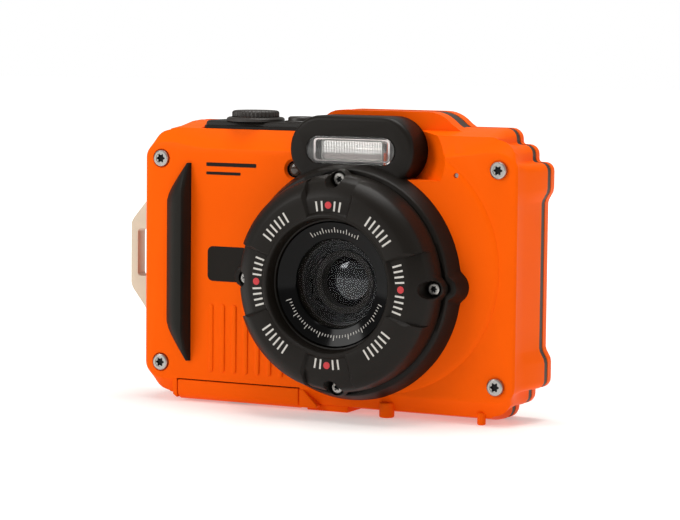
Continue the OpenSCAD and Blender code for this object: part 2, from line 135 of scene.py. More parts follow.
def add(tree, kind, **values):
    """Adds a node and sets its properties and its unlinked inputs by name."""
    node = tree.nodes.new(kind)
    for name, value in values.items():
        if name in node.inputs:
            node.inputs[name].default_value = value
        else:
            setattr(node, name, value)
    return node


def join(tree, source, target):
    tree.links.new(source, target)


# %% [markdown]
# ## Shared effects
# Moulded plastic is never perfectly even. One group gives a fine spark-eroded grain, a slow
# drift of tone, and patches of handling gloss. Each finish places it with its own scales.

# %% Grain group
grain = bpy.data.node_groups.new("moulded_grain", "ShaderNodeTree")
start, end = sockets(
    grain,
    [("Grain Scale", "NodeSocketFloat", 4000.0), ("Patch Scale", "NodeSocketFloat", 60.0)],
    [("Height", "NodeSocketFloat"), ("Drift", "NodeSocketFloat"), ("Scuff", "NodeSocketFloat")],
)
place = add(grain, "ShaderNodeTexCoord")
fine = add(grain, "ShaderNodeTexNoise", Detail=3.0, Roughness=0.6)
cells = add(grain, "ShaderNodeTexVoronoi")
blend_height = add(grain, "ShaderNodeMath", operation="ADD")
patch = add(grain, "ShaderNodeTexNoise", Detail=4.0, Roughness=0.55)
scratch_map = add(grain, "ShaderNodeMapping", Scale=(9.0, 9.0, 60.0), Rotation=(0.3, 0.5, 0.2))
scratch = add(grain, "ShaderNodeTexNoise", Scale=30.0, Detail=6.0, Roughness=0.7)
scratch_ramp = add(grain, "ShaderNodeMapRange")
scratch_ramp.inputs["From Min"].default_value = 0.62
scratch_ramp.inputs["From Max"].default_value = 0.75
for texture in (fine, cells, patch, scratch_map):
    join(grain, place.outputs["Object"], texture.inputs["Vector"])
join(grain, start.outputs["Grain Scale"], fine.inputs["Scale"])
join(grain, start.outputs["Grain Scale"], cells.inputs["Scale"])
join(grain, start.outputs["Patch Scale"], patch.inputs["Scale"])
join(grain, fine.outputs["Fac"], blend_height.inputs[0])
join(grain, cells.outputs["Distance"], blend_height.inputs[1])
join(grain, scratch_map.outputs["Vector"], scratch.inputs["Vector"])
join(grain, scratch.outputs["Fac"], scratch_ramp.inputs["Value"])
join(grain, blend_height.outputs[0], end.inputs["Height"])
join(grain, patch.outputs["Fac"], end.inputs["Drift"])
join(grain, scratch_ramp.outputs["Result"], end.inputs["Scuff"])
print("group", grain.name)


# %% Finish builder
FINISHES = {}


def finish(
    name, colour, dark=None, rough=(0.35, 0.5), grain_scale=4000, patch_scale=60, bump=0.05, **shader
):
    """A finish on the Principled shader: tones drift, scuffs change the gloss, grain is bumped."""
    material = bpy.data.materials.new(name)
    material.use_nodes = True
    tree = material.node_tree
    surface = tree.nodes["Principled BSDF"]
    effect = add(tree, "ShaderNodeGroup")
    effect.node_tree = grain
    effect.inputs["Grain Scale"].default_value = grain_scale
    effect.inputs["Patch Scale"].default_value = patch_scale
    tones = add(tree, "ShaderNodeMix", data_type="RGBA")
    tones.inputs[6].default_value = (*(dark or [c * 0.8 for c in colour]), 1)
    tones.inputs[7].default_value = (*colour, 1)
    gloss = add(tree, "ShaderNodeMapRange")
    gloss.inputs["To Min"].default_value = rough[0]
    gloss.inputs["To Max"].default_value = rough[1]
    wear = add(tree, "ShaderNodeMath", operation="MULTIPLY_ADD")
    wear.inputs[1].default_value = 0.5
    relief = add(tree, "ShaderNodeBump", Strength=bump, Distance=0.0001)
    join(tree, effect.outputs["Drift"], tones.inputs[0])
    join(tree, tones.outputs[2], surface.inputs["Base Color"])
    join(tree, effect.outputs["Scuff"], wear.inputs[0])
    join(tree, effect.outputs["Drift"], wear.inputs[2])
    join(tree, wear.outputs[0], gloss.inputs["Value"])
    join(tree, gloss.outputs["Result"], surface.inputs["Roughness"])
    join(tree, effect.outputs["Height"], relief.inputs["Height"])
    join(tree, relief.outputs["Normal"], surface.inputs["Normal"])
    for socket, value in shader.items():
        surface.inputs[socket.replace("_", " ")].default_value = value
    material.diffuse_color = (*colour, 1)
    FINISHES[name] = material
    return material


# %% [markdown]
# ## Finishes
# One finish for each material slot of the record, plus the prints. The orange is a satin
# polycarbonate, the black a warm spark-eroded plastic, and the screws are machined steel.

# %% Finishes
finish(
    "orange_shell", (0.95, 0.118, 0.0005), (0.89, 0.1, 0.0005), (0.36, 0.46), 2600, 45, 0.03,
    Specular_IOR_Level=0.04,
)
finish("brown_seal", (0.045, 0.024, 0.012), rough=(0.5, 0.65), grain_scale=3000, bump=0.05)
finish(
    "black_shell", (0.0085, 0.0064, 0.0046), (0.0065, 0.0048, 0.0035), (0.36, 0.46), 3400, 80, 0.12,
    Specular_IOR_Level=0.16,
)
finish(
    "gloss_black", (0.002, 0.002, 0.0022), rough=(0.08, 0.14), grain_scale=1500, bump=0.0,
    Specular_IOR_Level=0.12,
)
finish(
    "grip_rubber", (0.011, 0.0098, 0.0075), rough=(0.46, 0.56), grain_scale=3600, bump=0.12,
    Specular_IOR_Level=0.13,
)
finish("screw_steel", (0.46, 0.45, 0.43), (0.36, 0.35, 0.33), (0.26, 0.4), 5000, 300, 0.03, Metallic=1.0)
finish("mirror_chrome", (0.62, 0.56, 0.56), rough=(0.1, 0.2), grain_scale=900, bump=0.01, Metallic=1.0)
finish(
    "champagne_metal", (0.64, 0.54, 0.42), (0.56, 0.47, 0.36), (0.34, 0.46), 5000, 120, 0.04,
    Metallic=0.45,
)
finish("socket_metal", (0.6, 0.6, 0.6), rough=(0.25, 0.4), grain_scale=4000, bump=0.03, Metallic=1.0)
finish("circuit_board", (0.01, 0.09, 0.035), (0.006, 0.06, 0.025), (0.3, 0.5), 1200, 900, 0.2)
finish("gold_contact", (0.83, 0.55, 0.2), rough=(0.2, 0.35), bump=0.02, Metallic=1.0)
finish("cell_wrap", (0.03, 0.035, 0.045), rough=(0.3, 0.42), bump=0.03)
finish("knurled_black", (0.02, 0.015, 0.012), (0.013, 0.010, 0.008), (0.38, 0.5), 3000, 80, 0.1)
finish("record_red", (0.5, 0.012, 0.012), rough=(0.2, 0.3), bump=0.02)
finish("lamp_lens", (0.09, 0.06, 0.045), rough=(0.05, 0.1), bump=0.0, Transmission_Weight=0.35)
finish(
    "display_glass", (0.004, 0.004, 0.005), rough=(0.03, 0.06), grain_scale=300, bump=0.002,
    Coat_Weight=0.6,
)
finish("display_active", (0.009, 0.010, 0.012), rough=(0.12, 0.16), grain_scale=300, bump=0.002)
finish("print_white", (0.62, 0.60, 0.56), rough=(0.5, 0.6), bump=0.05)
finish("print_red", (0.56, 0.022, 0.03), rough=(0.4, 0.5), bump=0.03)
finish("print_black", (0.011, 0.0085, 0.0065), rough=(0.4, 0.5), bump=0.02, Specular_IOR_Level=0.12)
finish("flash_bed_grey", (0.045, 0.045, 0.045), rough=(0.3, 0.45), bump=0.03)
finish("print_grey", (0.42, 0.42, 0.40), rough=(0.45, 0.55), bump=0.03)
finish("barrel_black", (0.0022, 0.0022, 0.0026), rough=(0.22, 0.34), bump=0.0, Specular_IOR_Level=0.16)
finish("element_coating", (0.012, 0.012, 0.014), (0.006, 0.006, 0.008), (0.03, 0.06), 200, 90, 0.0)


def clear(name, colour, rough, ior):
    """Clear glass or plastic: transmission on the shader, with faint smudges in its roughness."""
    material = finish(name, colour, colour, rough, 900, 40, 0.0)
    surface = material.node_tree.nodes["Principled BSDF"]
    surface.inputs["Transmission Weight"].default_value = 1.0
    surface.inputs["IOR"].default_value = ior
    return material


clear("clear_glass", (0.96, 0.98, 1.0), (0.0, 0.03), 1.12)
clear("flash_plastic", (0.98, 0.98, 0.97), (0.02, 0.06), 1.49)
print("finishes:", len(FINISHES))


# %% [markdown]
# ## Modelling helpers
# Everything starts as a primitive and is shaped in edit mode. The workhorse is the loft: a
# circle's vertices are moved on to an outline, the loop is extruded, and each new loop is
# moved to the next outline. Cuts and joins are boolean modifiers, applied straight away.

# %% Selecting and editing
def deselect():
    bpy.ops.object.select_all(action="DESELECT")


def pick(obj):
    deselect()
    obj.select_set(True)
    bpy.context.view_layer.objects.active = obj


def settle(name):
    """Names the active object and moves its place into its mesh."""
    obj = bpy.context.object
    pick(obj)
    bpy.ops.object.transform_apply(location=True, rotation=True, scale=True)
    obj.name = name
    obj.data.name = name
    return obj


def edit(obj):
    pick(obj)
    bpy.ops.object.mode_set(mode="EDIT")
    bpy.ops.mesh.select_mode(type="VERT")
    return bmesh.from_edit_mesh(obj.data)


def leave():
    bpy.ops.object.mode_set(mode="OBJECT")


def outward(obj):
    """Merges doubles and turns every face outwards."""
    edit(obj)
    bpy.ops.mesh.select_all(action="SELECT")
    bpy.ops.mesh.remove_doubles(threshold=1e-6)
    bpy.ops.mesh.normals_make_consistent(inside=False)
    leave()
    return obj


# %% Loft
def move_loop(obj, before, after):
    """Moves the selected loop, which lies on the points before, to the points after."""
    mesh = bmesh.from_edit_mesh(obj.data)
    where = {tuple(round(c / MM, 3) for c in point): i for i, point in enumerate(before)}
    for vertex in (v for v in mesh.verts if v.select):
        vertex.co = after[where[tuple(round(c / MM, 3) for c in vertex.co)]]
    bmesh.update_edit_mesh(obj.data)


def loft(name, rings, closed=False):
    """A solid through rings of equal length, each a list of (x, y, z) in millimetres."""
    rings = [[Vector(point) * MM for point in ring] for ring in rings]
    count = len(rings[0])
    deselect()
    bpy.ops.mesh.primitive_circle_add(vertices=count, radius=1, enter_editmode=False)
    obj = settle(name)
    mesh = edit(obj)
    mesh.verts.ensure_lookup_table()
    for vertex, point in zip(mesh.verts, rings[0]):
        vertex.co = point
    bpy.ops.mesh.select_all(action="SELECT")
    if not closed:
        bpy.ops.mesh.edge_face_add()
    for before, after in zip(rings, rings[1:]):
        bpy.ops.mesh.extrude_region_move()
        move_loop(obj, before, after)
    if closed:
        ends = {tuple(round(c / MM, 3) for c in p) for p in rings[0] + rings[-1]}
        mesh = bmesh.from_edit_mesh(obj.data)
        for edge in mesh.edges:
            edge.select = False
        for vertex in mesh.verts:
            vertex.select = False
        for edge in mesh.edges:
            if len(edge.link_faces) < 2:
                edge.select = True
                for vertex in edge.verts:
                    vertex.select = tuple(round(c / MM, 3) for c in vertex.co) in ends
        bmesh.update_edit_mesh(obj.data)
        bpy.ops.mesh.bridge_edge_loops()
    leave()
    return outward(obj)


# %% Outlines
def at_depth(outline, y):
    """Stands an outline of (x, z) points up at a depth."""
    return [(x, y, z) for x, z in outline]


def arc(x, z, radius, start, end, steps):
    """Points on an arc, angles in degrees from +x towards +z."""
    turns = [math.radians(start + (end - start) * i / steps) for i in range(steps + 1)]
    return [(x + radius * math.cos(t), z + radius * math.sin(t)) for t in turns]


def rounded_box(left, right, low, high, radius, steps=6):
    """Outline of a box with round corners, anticlockwise."""
    return (
        arc(right - radius, low + radius, radius, -90, 0, steps)
        + arc(right - radius, high - radius, radius, 0, 90, steps)
        + arc(left + radius, high - radius, radius, 90, 180, steps)
        + arc(left + radius, low + radius, radius, 180, 270, steps)
    )


def circle(x, z, radius, steps=48):
    return arc(x, z, radius, 0, 360 - 360 / steps, steps - 1)


def stadium(x, z, half, radius, steps=12):
    return arc(x + half, z, radius, -90, 90, steps) + arc(x - half, z, radius, 90, 270, steps)


def grow(outline, amount):
    """Moves every point of an anticlockwise outline outwards along its normal."""
    out = []
    for i, (x, z) in enumerate(outline):
        bx, bz = outline[i - 1]
        ax, az = outline[(i + 1) % len(outline)]
        dx, dz = ax - bx, az - bz
        size = math.hypot(dx, dz) or 1
        out.append((x + dz / size * amount, z - dx / size * amount))
    return out


def prism(name, outline, front, rear):
    return loft(name, [at_depth(outline, rear), at_depth(outline, front)])


def turned(name, profile, x, z, steps=96, closed=False):
    """A lathe piece about an axis along Y; the profile is (radius, y)."""
    return loft(name, [at_depth(circle(x, z, r, steps), y) for r, y in profile], closed)


# %% Cuts, joins and edges
def apply_boolean(obj, tool, operation):
    pick(obj)
    change = obj.modifiers.new("change", "BOOLEAN")
    change.operation = operation
    change.object = tool
    change.solver = "MANIFOLD"
    bpy.ops.object.modifier_apply(modifier=change.name)
    bpy.data.objects.remove(tool, do_unlink=True)
    return obj


def cut(obj, *tools):
    for tool in tools:
        apply_boolean(obj, tool, "DIFFERENCE")
    return obj


def weld(obj, *others):
    for other in others:
        apply_boolean(obj, other, "UNION")
    return obj


def gather(obj, *others):
    """Joins separate pieces into one object without changing their surfaces."""
    pick(obj)
    for other in others:
        other.select_set(True)
    if others:
        bpy.ops.object.join()
    return bpy.context.object


def block(name, low, high, edge=0.0):
    """A box between two corners, with its edges bevelled."""
    low, high = Vector(low) * MM, Vector(high) * MM
    deselect()
    bpy.ops.mesh.primitive_cube_add(size=1, location=(low + high) / 2, scale=high - low)
    obj = settle(name)
    return soften(obj, edge, 3) if edge else obj


def bar(name, x, z, radius, front, rear, steps=32):
    """A round bar along Y, used as a cutter and as a start for pins."""
    return turned(name, [(radius, rear), (radius, front)], x, z, steps)


def post(name, x, y, z, radius, high, steps=48):
    """An upright round bar about a middle, used as a cutter."""
    deselect()
    bpy.ops.mesh.primitive_cylinder_add(
        vertices=steps, radius=radius * MM, depth=high * MM, location=Vector((x, y, z)) * MM
    )
    return settle(name)


def soften(obj, width, segments=3, angle=28, where=None):
    """Bevels the edges sharper than an angle; where(middle, edge) may narrow the choice."""
    mesh = edit(obj)
    bpy.ops.mesh.select_all(action="DESELECT")
    bpy.ops.mesh.select_mode(type="EDGE")
    chosen = 0
    for edge in mesh.edges:
        if len(edge.link_faces) != 2 or edge.calc_face_angle(0) < math.radians(angle):
            continue
        centre = (edge.verts[0].co + edge.verts[1].co) / 2 / MM
        if where is None or where(centre, edge):
            edge.select = True
            chosen += 1
    bmesh.update_edit_mesh(obj.data)
    if chosen:
        bpy.ops.mesh.bevel(offset=width * MM, segments=segments, affect="EDGES", clamp_overlap=True)
    leave()
    return obj


def smooth(obj, angle=32):
    pick(obj)
    bpy.ops.object.shade_smooth_by_angle(angle=math.radians(angle))
    return obj


# %% Finishing a piece
def paint(obj, finish_name):
    """Gives the whole piece one finish, whatever slots its cutters left behind."""
    obj.data.materials.clear()
    obj.data.materials.append(FINISHES[finish_name])
    for face in obj.data.polygons:
        face.material_index = 0
    return obj


def piece(obj, body, slot, *replaced, finish_name=None, angle=32):
    """Smooths a piece, gives it its finish, and rides it on its body."""
    smooth(obj, angle)
    paint(obj, finish_name or slot)
    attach(obj, body)
    if replaced:
        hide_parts(*replaced)
    print(obj.name, "faces", len(obj.data.polygons))
    return obj


# %% [markdown]
# ## The casing outline
# The covers meet on a stepped outline: each corner carries three moulded scallops. Towards
# the lens side the scallops melt into a plain flat face whose round corners are centred on
# the four screws. One list of points serves both covers and the seal, so they always match.

# %% Casing outline
CENTRE_Z = CASE_HIGH / 2
STEPS = [(43.0, 0.0, 2.5), (47.0, 3.7, 2.2), (LOBE, 7.7, 2.0)]
FILLET = 0.8


def scalloped_quarter():
    """The lower right quarter of the joint outline, from the bottom edge up to the waist."""
    points = [(x, 0.0) for x in (4, 14, 24, 32, 37)]
    for index, (x, z, radius) in enumerate(STEPS):
        points += arc(x - radius, z + radius, radius, -90, 0, 5)
        if index < 2:
            points += arc(x + FILLET, STEPS[index + 1][1] - FILLET, FILLET, 180, 90, 3)
    points += [(LOBE, 13.6), (LOBE - 0.2, 14.6), (WAIST + 0.2, 16.4), (WAIST, 17.2)]
    points += [(WAIST, z) for z in (22, 28)]
    return points


def mirrored(points, x=False, z=False):
    turned_round = [(-a if x else a, CASE_HIGH - b if z else b) for a, b in points]
    return turned_round[::-1] if x != z else turned_round


QUARTER = scalloped_quarter()
OUTLINE = (
    QUARTER
    + mirrored(QUARTER, z=True)
    + mirrored(QUARTER, x=True, z=True)
    + mirrored(QUARTER, x=True)
)
print("outline points:", len(OUTLINE))


def scaled(outline, factor):
    return [(x * factor, (z - CENTRE_Z) * factor + CENTRE_Z) for x, z in outline]


CORNER_IN = 1.2


def face_outline(side, above, below):
    """A rounded outline whose corners are quarter ellipses about the case screws."""
    shaped = []
    for x, z in OUTLINE:
        hand = 1 if x > 0 else -1
        upper = z > CENTRE_Z
        screw_z, reach, up = (SCREW_HIGH, above, 1) if upper else (SCREW_LOW, below, -1)
        out_x, out_z = abs(x) - SCREW_X + CORNER_IN, (z - screw_z) * up
        if out_x > 0 and out_z > 0:
            turn = math.atan2(out_z / (CENTRE_Z * 2 - SCREW_HIGH), out_x / (LOBE - SCREW_X + CORNER_IN))
            x = hand * (SCREW_X - CORNER_IN + (side + CORNER_IN) * math.cos(turn))
            z = screw_z + up * reach * math.sin(turn)
        elif out_z > 0:
            z = screw_z + up * reach
        else:
            x = hand * (SCREW_X + side)
        shaped.append((x, z))
    return shaped


def mixed(first, second, share):
    """Each point part of the way from one outline to the other."""
    return [(a + (c - a) * share, b + (d - b) * share) for (a, b), (c, d) in zip(first, second)]


def dipped(outline, drop):
    """Lowers the top edge between the corners, where the face ends below the button plate."""
    shaped = []
    for x, z in outline:
        ease = min(1.0, max(0.0, (abs(x) - 34) / 6))
        shaped.append((x, z - drop * (1 - ease) if z > SCREW_HIGH else z))
    return shaped


# %% [markdown]
# ## The front cover
# The orange front shell is a loft from the joint outline to the flat face, hollowed from
# behind. The hump, the lens panel, the feet and the ribs are welded on, then every opening
# is cut: screw wells, lens bore, battery bay, button plate, lamp and microphone. Right of the
# hump a conical scoop is sunk in the face, with a wall behind it so that it stays closed.

# %% Front cover shell
def lean(points):
    """The flat face leans back a little towards the right, so the lens panel stands proud there."""
    return [(x, y + (x + WAIST) * 0.005, z) for x, y, z in points]


EDGE = 0.55
shoulder = face_outline(4.3, 7.3, 7.5)
flat_face = dipped(face_outline(3.9, 3.9, 3.9), 1.2)
front_rings = [
    at_depth(OUTLINE, JOINT),
    at_depth(scaled(OUTLINE, 0.9945), 0.9),
    at_depth(mixed(scaled(OUTLINE, 0.985), shoulder, 0.45), -3.6),
    at_depth(mixed(scaled(OUTLINE, 0.97), shoulder, 0.85), -6.7),
    lean(at_depth(grow(flat_face, EDGE), FACE + EDGE)),
    lean(at_depth(grow(flat_face, EDGE * 0.3), FACE + EDGE * 0.3)),
    lean(at_depth(grow(flat_face, -EDGE * 0.4), FACE)),
]
front_cover = loft("front_cover_shell", front_rings)
HUMP = [(-5.4, 63), (-5.3, 66.6)] + arc(0.6, 65.6, 5.9, 172, 90, 6) + arc(23.2, 63.3, 8.2, 90, 52, 5) + [
    (29.6, 68.6), (31.4, 67.4), (33.4, 66.6), (36.0, 66.0), (36.0, 63)
]
HUMP_FRONT = -10.5
HUMP_JOIN = corner("lens_housing", True).y
HUMP_REAR = 2.2


def hump(name, front, rear, edge, shrink=0.0):
    """One slice of the hump behind the flash housing, with its front edge eased."""
    body = prism(name, grow(HUMP[::-1], -shrink), front, rear)
    if edge:
        soften(body, edge, 3, 40, lambda c, e: c.y < front + 0.01 and c.z > 65)
    return body


weld(front_cover, hump("front_hump", HUMP_JOIN, HUMP_REAR, 0))
print("front cover faces:", len(front_cover.data.polygons))

# %% Lens panel, feet and ribs
panel_x, panel_z, panel_r = 14.4, 35.6, 29.7
lens_panel = turned("lens_panel", [
    (panel_r + 0.5, FACE + 1.4), (panel_r + 0.35, FACE + 0.42), (panel_r - 0.1, FACE + 0.12),
    (panel_r - 0.9, FACE - 0.04), (panel_r - 2.6, FACE - 0.2),
], panel_x, panel_z, 128)
cut(lens_panel, block("panel_trim", (-60, -20, 62.0), (60, 20, 80)))
cut(lens_panel, block("panel_trim_low", (-60, -20, -10), (60, 20, 6.0)))
weld(front_cover, lens_panel)


def foot(name, x, y, radius, high):
    """A small round foot with eased ends."""
    return soften(post(name, x, y, high / 2, radius, high, 32), 0.35, 3)


weld(front_cover, block("bush_boss", (-5.4, -6.3, 0.05), (5.4, JOINT, 3.0), 0.3))
weld(front_cover, foot("large_foot", 16.1, -7.3, 1.8, 3.6), foot("small_foot", 40.0, -6.9, 1.0, 3.0))
RIB_PITCH = 3.15


def rib(index):
    """A shallow upright rib with round ends, sunk in the face so only its crown shows."""
    x = -30.2 + RIB_PITCH * index
    outline = stadium(0, 0, 7.6, 0.62, 6)
    points = [(x - b, 16.0 + a) for a, b in outline]
    body = prism("rib", points, FACE - 0.2, FACE + 0.5)
    return soften(body, 0.18, 2, 40, lambda c, e: c.y < FACE - 0.15)


ribs = [rib(index) for index in range(7)]
for body in ribs:
    weld(front_cover, body)

# %% Openings in the front cover
tools = [
    block("upper_room", (-40.4, -7.2, 4.2), (40.4, JOINT + 1, 62.6)),
    block("deep_room", (-40.4, -4.6, 2.4), (40.4, JOINT + 1, 65.2)),
    block("side_room", (-46.4, -7.2, 14), (46.4, JOINT + 1, 54.5)),
    block("plate_room", (-34.6, -6.52, 66.35), (-5.6, JOINT + 1, 74)),
    block("bay_mouth", (BAY_LEFT, -12, -1), (BAY_RIGHT, 3.85, 2.9)),
    block("lip_room", (BAY_LEFT, -12, -1), (BAY_RIGHT, -6.9, 5.6)),
    block("bracket_slit", (-52, -1.85, 23.9), (-46, 1.85, 45.6)),
    bar("lens_bore", LENS.x, LENS.z, 9.8, -12, -6, 64),
    turned("lamp_well", [(1.9, -6), (1.9, -7.9), (2.05, -8.2), (3.0, -9.6)], *LAMP, 32),
    prism("flash_room", stadium(FLASH.x, FLASH.z, 8.3, 3.5, 12), -12, -3.0),
]
for x in (-SCREW_X, SCREW_X):
    for z in (SCREW_LOW, SCREW_HIGH):
        well = [(1.05, JOINT + 1), (1.05, -8.4), (2.3, -8.4), (2.3, -11)]
        tools.append(turned("screw_well", well, x, z, 40))
SCOOP_X = FLASH.x + 8.05
pick(front_cover)
bpy.ops.object.duplicate()
scoop_wall = settle("scoop_wall")
wall_cone = turned("wall_cone", [(10.4, -0.3), (17.4, -7.3), (17.6, -12.0)], SCOOP_X, FLASH.z, 96)
apply_boolean(wall_cone, block("wall_side", (SCOOP_X, -14, 55.0), (60, 4, 80)), "INTERSECT")
apply_boolean(scoop_wall, wall_cone, "INTERSECT")
cut(front_cover, *tools)
weld(front_cover, scoop_wall)
scoop = turned("scoop", [(8.1, -1.95), (8.6, -3.0), (15.4, -8.7), (18.0, -12.0)], SCOOP_X, FLASH.z, 96)
apply_boolean(scoop, block("scoop_side", (SCOOP_X + 0.5, -14, 56.0), (60, 4, 80)), "INTERSECT")
cut(front_cover, scoop)
cut(front_cover, bar("microphone_hole", *MICROPHONE, 0.6, -12, -6, 20))
for x in (10, 12.7, 15.4):
    cut(front_cover, post("sound_hole", x, 0.3, 71.4, 0.5, 3, 16))
cut(front_cover, post("bush_well", 0, 0, 0, 4.4, 12))
print("front cover faces after cutting:", len(front_cover.data.polygons))
piece(front_cover, "camera", "orange_shell", "front_cover", angle=30)

# %% [markdown]
# ## The seal between the covers
# A dark rubber band is squeezed between the two shells and follows the same scallops, set
# back a little. Over the hump it widens into a broad arch.

# %% Seal
seal_rings = [
    at_depth(grow(OUTLINE, -0.25), JOINT + 0.02),
    at_depth(grow(OUTLINE, -0.12), JOINT + 0.15),
    at_depth(grow(OUTLINE, -0.12), REAR - 0.15),
    at_depth(grow(OUTLINE, -0.25), REAR - 0.02),
    at_depth(grow(OUTLINE, -2.2), REAR - 0.02),
    at_depth(grow(OUTLINE, -2.2), JOINT + 0.02),
]
seal = loft("cover_seal", seal_rings, closed=True)
arch = hump("seal_arch", HUMP_REAR + 0.02, REAR - 0.02, 0, 0.12)
cut(arch, block("arch_room", (-60, -10, 50), (60, 20, CASE_HIGH - 1.2)))
seal = gather(seal, arch)
piece(seal, "camera", "brown_seal", "case_gasket")

# %% [markdown]
# ## The rear cover
# The rear shell takes the same outline with an eased back edge. The display recess, the key
# wells and the speaker holes are cut, and a raised thumb rest with grip ridges is welded on.

# %% Rear cover
KEYS = middle("ok_key")
ROCKER = middle("zoom_rocker")
rear_cover = loft("rear_cover_shell", [
    at_depth(scaled(OUTLINE, 1.0), REAR),
    at_depth(scaled(OUTLINE, 1.0), BACK - 1.5),
    at_depth(scaled(OUTLINE, 0.9965), BACK - 0.7),
    at_depth(scaled(OUTLINE, 0.989), BACK - 0.15),
    at_depth(scaled(OUTLINE, 0.982), BACK),
])
rear_hump = prism("rear_hump", HUMP[::-1], REAR, BACK)
soften(rear_hump, 1.1, 4, 40, lambda c, e: c.y > BACK - 0.01 and c.z > 64)
weld(rear_cover, rear_hump)


def thumb_ridge(index):
    """A low ridge of the thumb rest."""
    x = -43.6 + index * 1.4
    lying = stadium(0, 0, 10.5 - abs(index - 1) * 1.5, 0.42, 5)
    return prism("thumb_ridge", [(x - b, 33 + a) for a, b in lying], BACK - 0.2, BACK + 0.3)


rocker_mouth = rounded_box(
    ROCKER.x - 9.25, ROCKER.x + 9.25, ROCKER.z - 2.75, ROCKER.z + 2.75, 2
)
tools = [
    block("rear_upper_room", (-40.4, REAR - 1, 2.6), (40.4, BACK - 1.6, 65.4)),
    block("rear_side_room", (-46.6, REAR - 1, 14), (46.6, BACK - 1.6, 54.5)),
    prism("display_recess", rounded_box(-14.6, 45.6, 11.4, 56.6, 2.1), BACK - 1.42, BACK + 1),
    block("display_hole", (-11, REAR - 1, 15), (43, BACK, 54)),
    prism("rocker_well", rocker_mouth, BACK + 1, REAR - 1),
    bar("pad_well", KEYS.x, KEYS.z, 9.6, REAR - 1, BACK + 1, 64),
]
for key in ("record_key", "play_key", "menu_key", "delete_key"):
    place = middle(key)
    well = [(3.0, REAR - 1), (3.0, BACK - 0.35), (3.6, BACK + 0.2)]
    tools.append(turned("key_well", well, place.x, place.z, 40))
for ring in range(2):
    for step in range(6 if ring else 1):
        turn = math.radians(60 * step)
        x, z = 26 + 2.2 * ring * math.cos(turn), 61.2 + 2.2 * ring * math.sin(turn)
        tools.append(bar("speaker_hole", x, z, 0.45, REAR - 1, BACK + 1, 16))
cut(rear_cover, *tools)
piece(rear_cover, "camera", "orange_shell", "rear_cover", angle=30)
weld(rear_cover, *[thumb_ridge(index) for index in range(3)])

# %% [markdown]
# ## The lens housing
# A black cone stands on the front face, with a boss for each of its four screws, and carries
# the flash in a round-ended hump. A lobed outline, swelling softly at the screws, serves the
# housing here and the bezel ring after it.

# %% Lobed outline
BEZEL_SCREW_RADIUS = 24.2
HOUSING_BOSS_RADIUS = 26.2
HOUSING_BOSS_SHARE = 1.25
BEZEL_UPRIGHT_SHARE = 0.88
RIM_STEPS = 288


def polar(radius, degrees):
    """A point about the lens axis, angle from +x towards +z."""
    turn = math.radians(degrees)
    return (LENS.x + radius * math.cos(turn), LENS.z + radius * math.sin(turn))


def lobed(radius, boss=0.0, centre=BEZEL_SCREW_RADIUS, upright=1.0):
    """A circle about the lens axis with a round boss at each screw; upright scales two of them."""
    points = []
    for step in range(RIM_STEPS):
        degrees = 360 * step / RIM_STEPS
        off = math.radians((degrees + 45) % 90 - 45)
        share = boss * (upright if round(degrees / 90) % 2 else 1.0)
        reach = centre * math.cos(off) + math.sqrt(max(0.0, share ** 2 - (centre * math.sin(off)) ** 2))
        swell = (reach - radius + math.hypot(reach - radius, 0.5)) / 2 if boss else 0.0
        points.append(polar(radius + swell, degrees))
    return points


# %% Lens housing
housing_profile = [
    (-8.0, 28.2, 3.1), (-9.3, 28.0, 3.0), (-11.4, 27.3, 2.6), (-13.1, 26.6, 2.1), (-13.5, 26.4, 2.0),
    (-13.7, 26.1, 1.8), (-13.7, 25.0, 1.0), (-12.9, 24.6, 1.4), (-12.9, 15.6, 0), (-12.9, 14.4, 0),
    (-15.2, 14.4, 0),
]
housing = loft(
    "lens_housing_shell",
    [at_depth(lobed(r, h * HOUSING_BOSS_SHARE, HOUSING_BOSS_RADIUS, 0), y) for y, r, h in housing_profile],
)
HUMP_HALF, HUMP_ROUND = 8.05, 8.0
NECK = [
    (-14.5, 46), (29.0, 46), (24.6, 50.6), (21.6, 53.6), (20.2, 55.6), (19.6, 57.2), (19.4, 59.5),
    (-4.6, 59.5), (-5.0, 57.6), (-5.8, 56.0), (-7.6, 53.8), (-10.4, 51.2),
]
neck = prism("housing_neck", NECK, HUMP_FRONT, HUMP_JOIN)
soften(neck, 0.9, 4, 50, lambda c, e: c.y < HUMP_FRONT + 0.01 and 50 < c.z < 58)
hump_case = prism("flash_hump", stadium(FLASH.x, FLASH.z, HUMP_HALF, HUMP_ROUND, 20), HUMP_FRONT, HUMP_JOIN)
soften(hump_case, 1.2, 5, 50, lambda c, e: c.y < HUMP_FRONT + 0.01)
FLASH_HALF, FLASH_ROUND = 8.25, 3.2
weld(housing, neck, hump_case)
pocket = prism("flash_pocket", stadium(FLASH.x, FLASH.z, FLASH_HALF, FLASH_ROUND + 0.12, 16), -12, -3.4)
cut(housing, pocket, bar("lens_bore", LENS.x, LENS.z, 9.8, -20, 0, 64))
soften(housing, 0.3, 3, 60, lambda c, e: abs(c.y - HUMP_FRONT + 0.02) < 0.03 and abs(c.z - FLASH.z) < 3.6)
piece(housing, "camera", "black_shell", "lens_housing", angle=34)

# %% [markdown]
# ## The bezel ring
# The ring is lathed as a low base with lobes at its screws, and four raised petals are cut
# from a taller ring with wedge-shaped sectors. Both share the round lip at the centre.

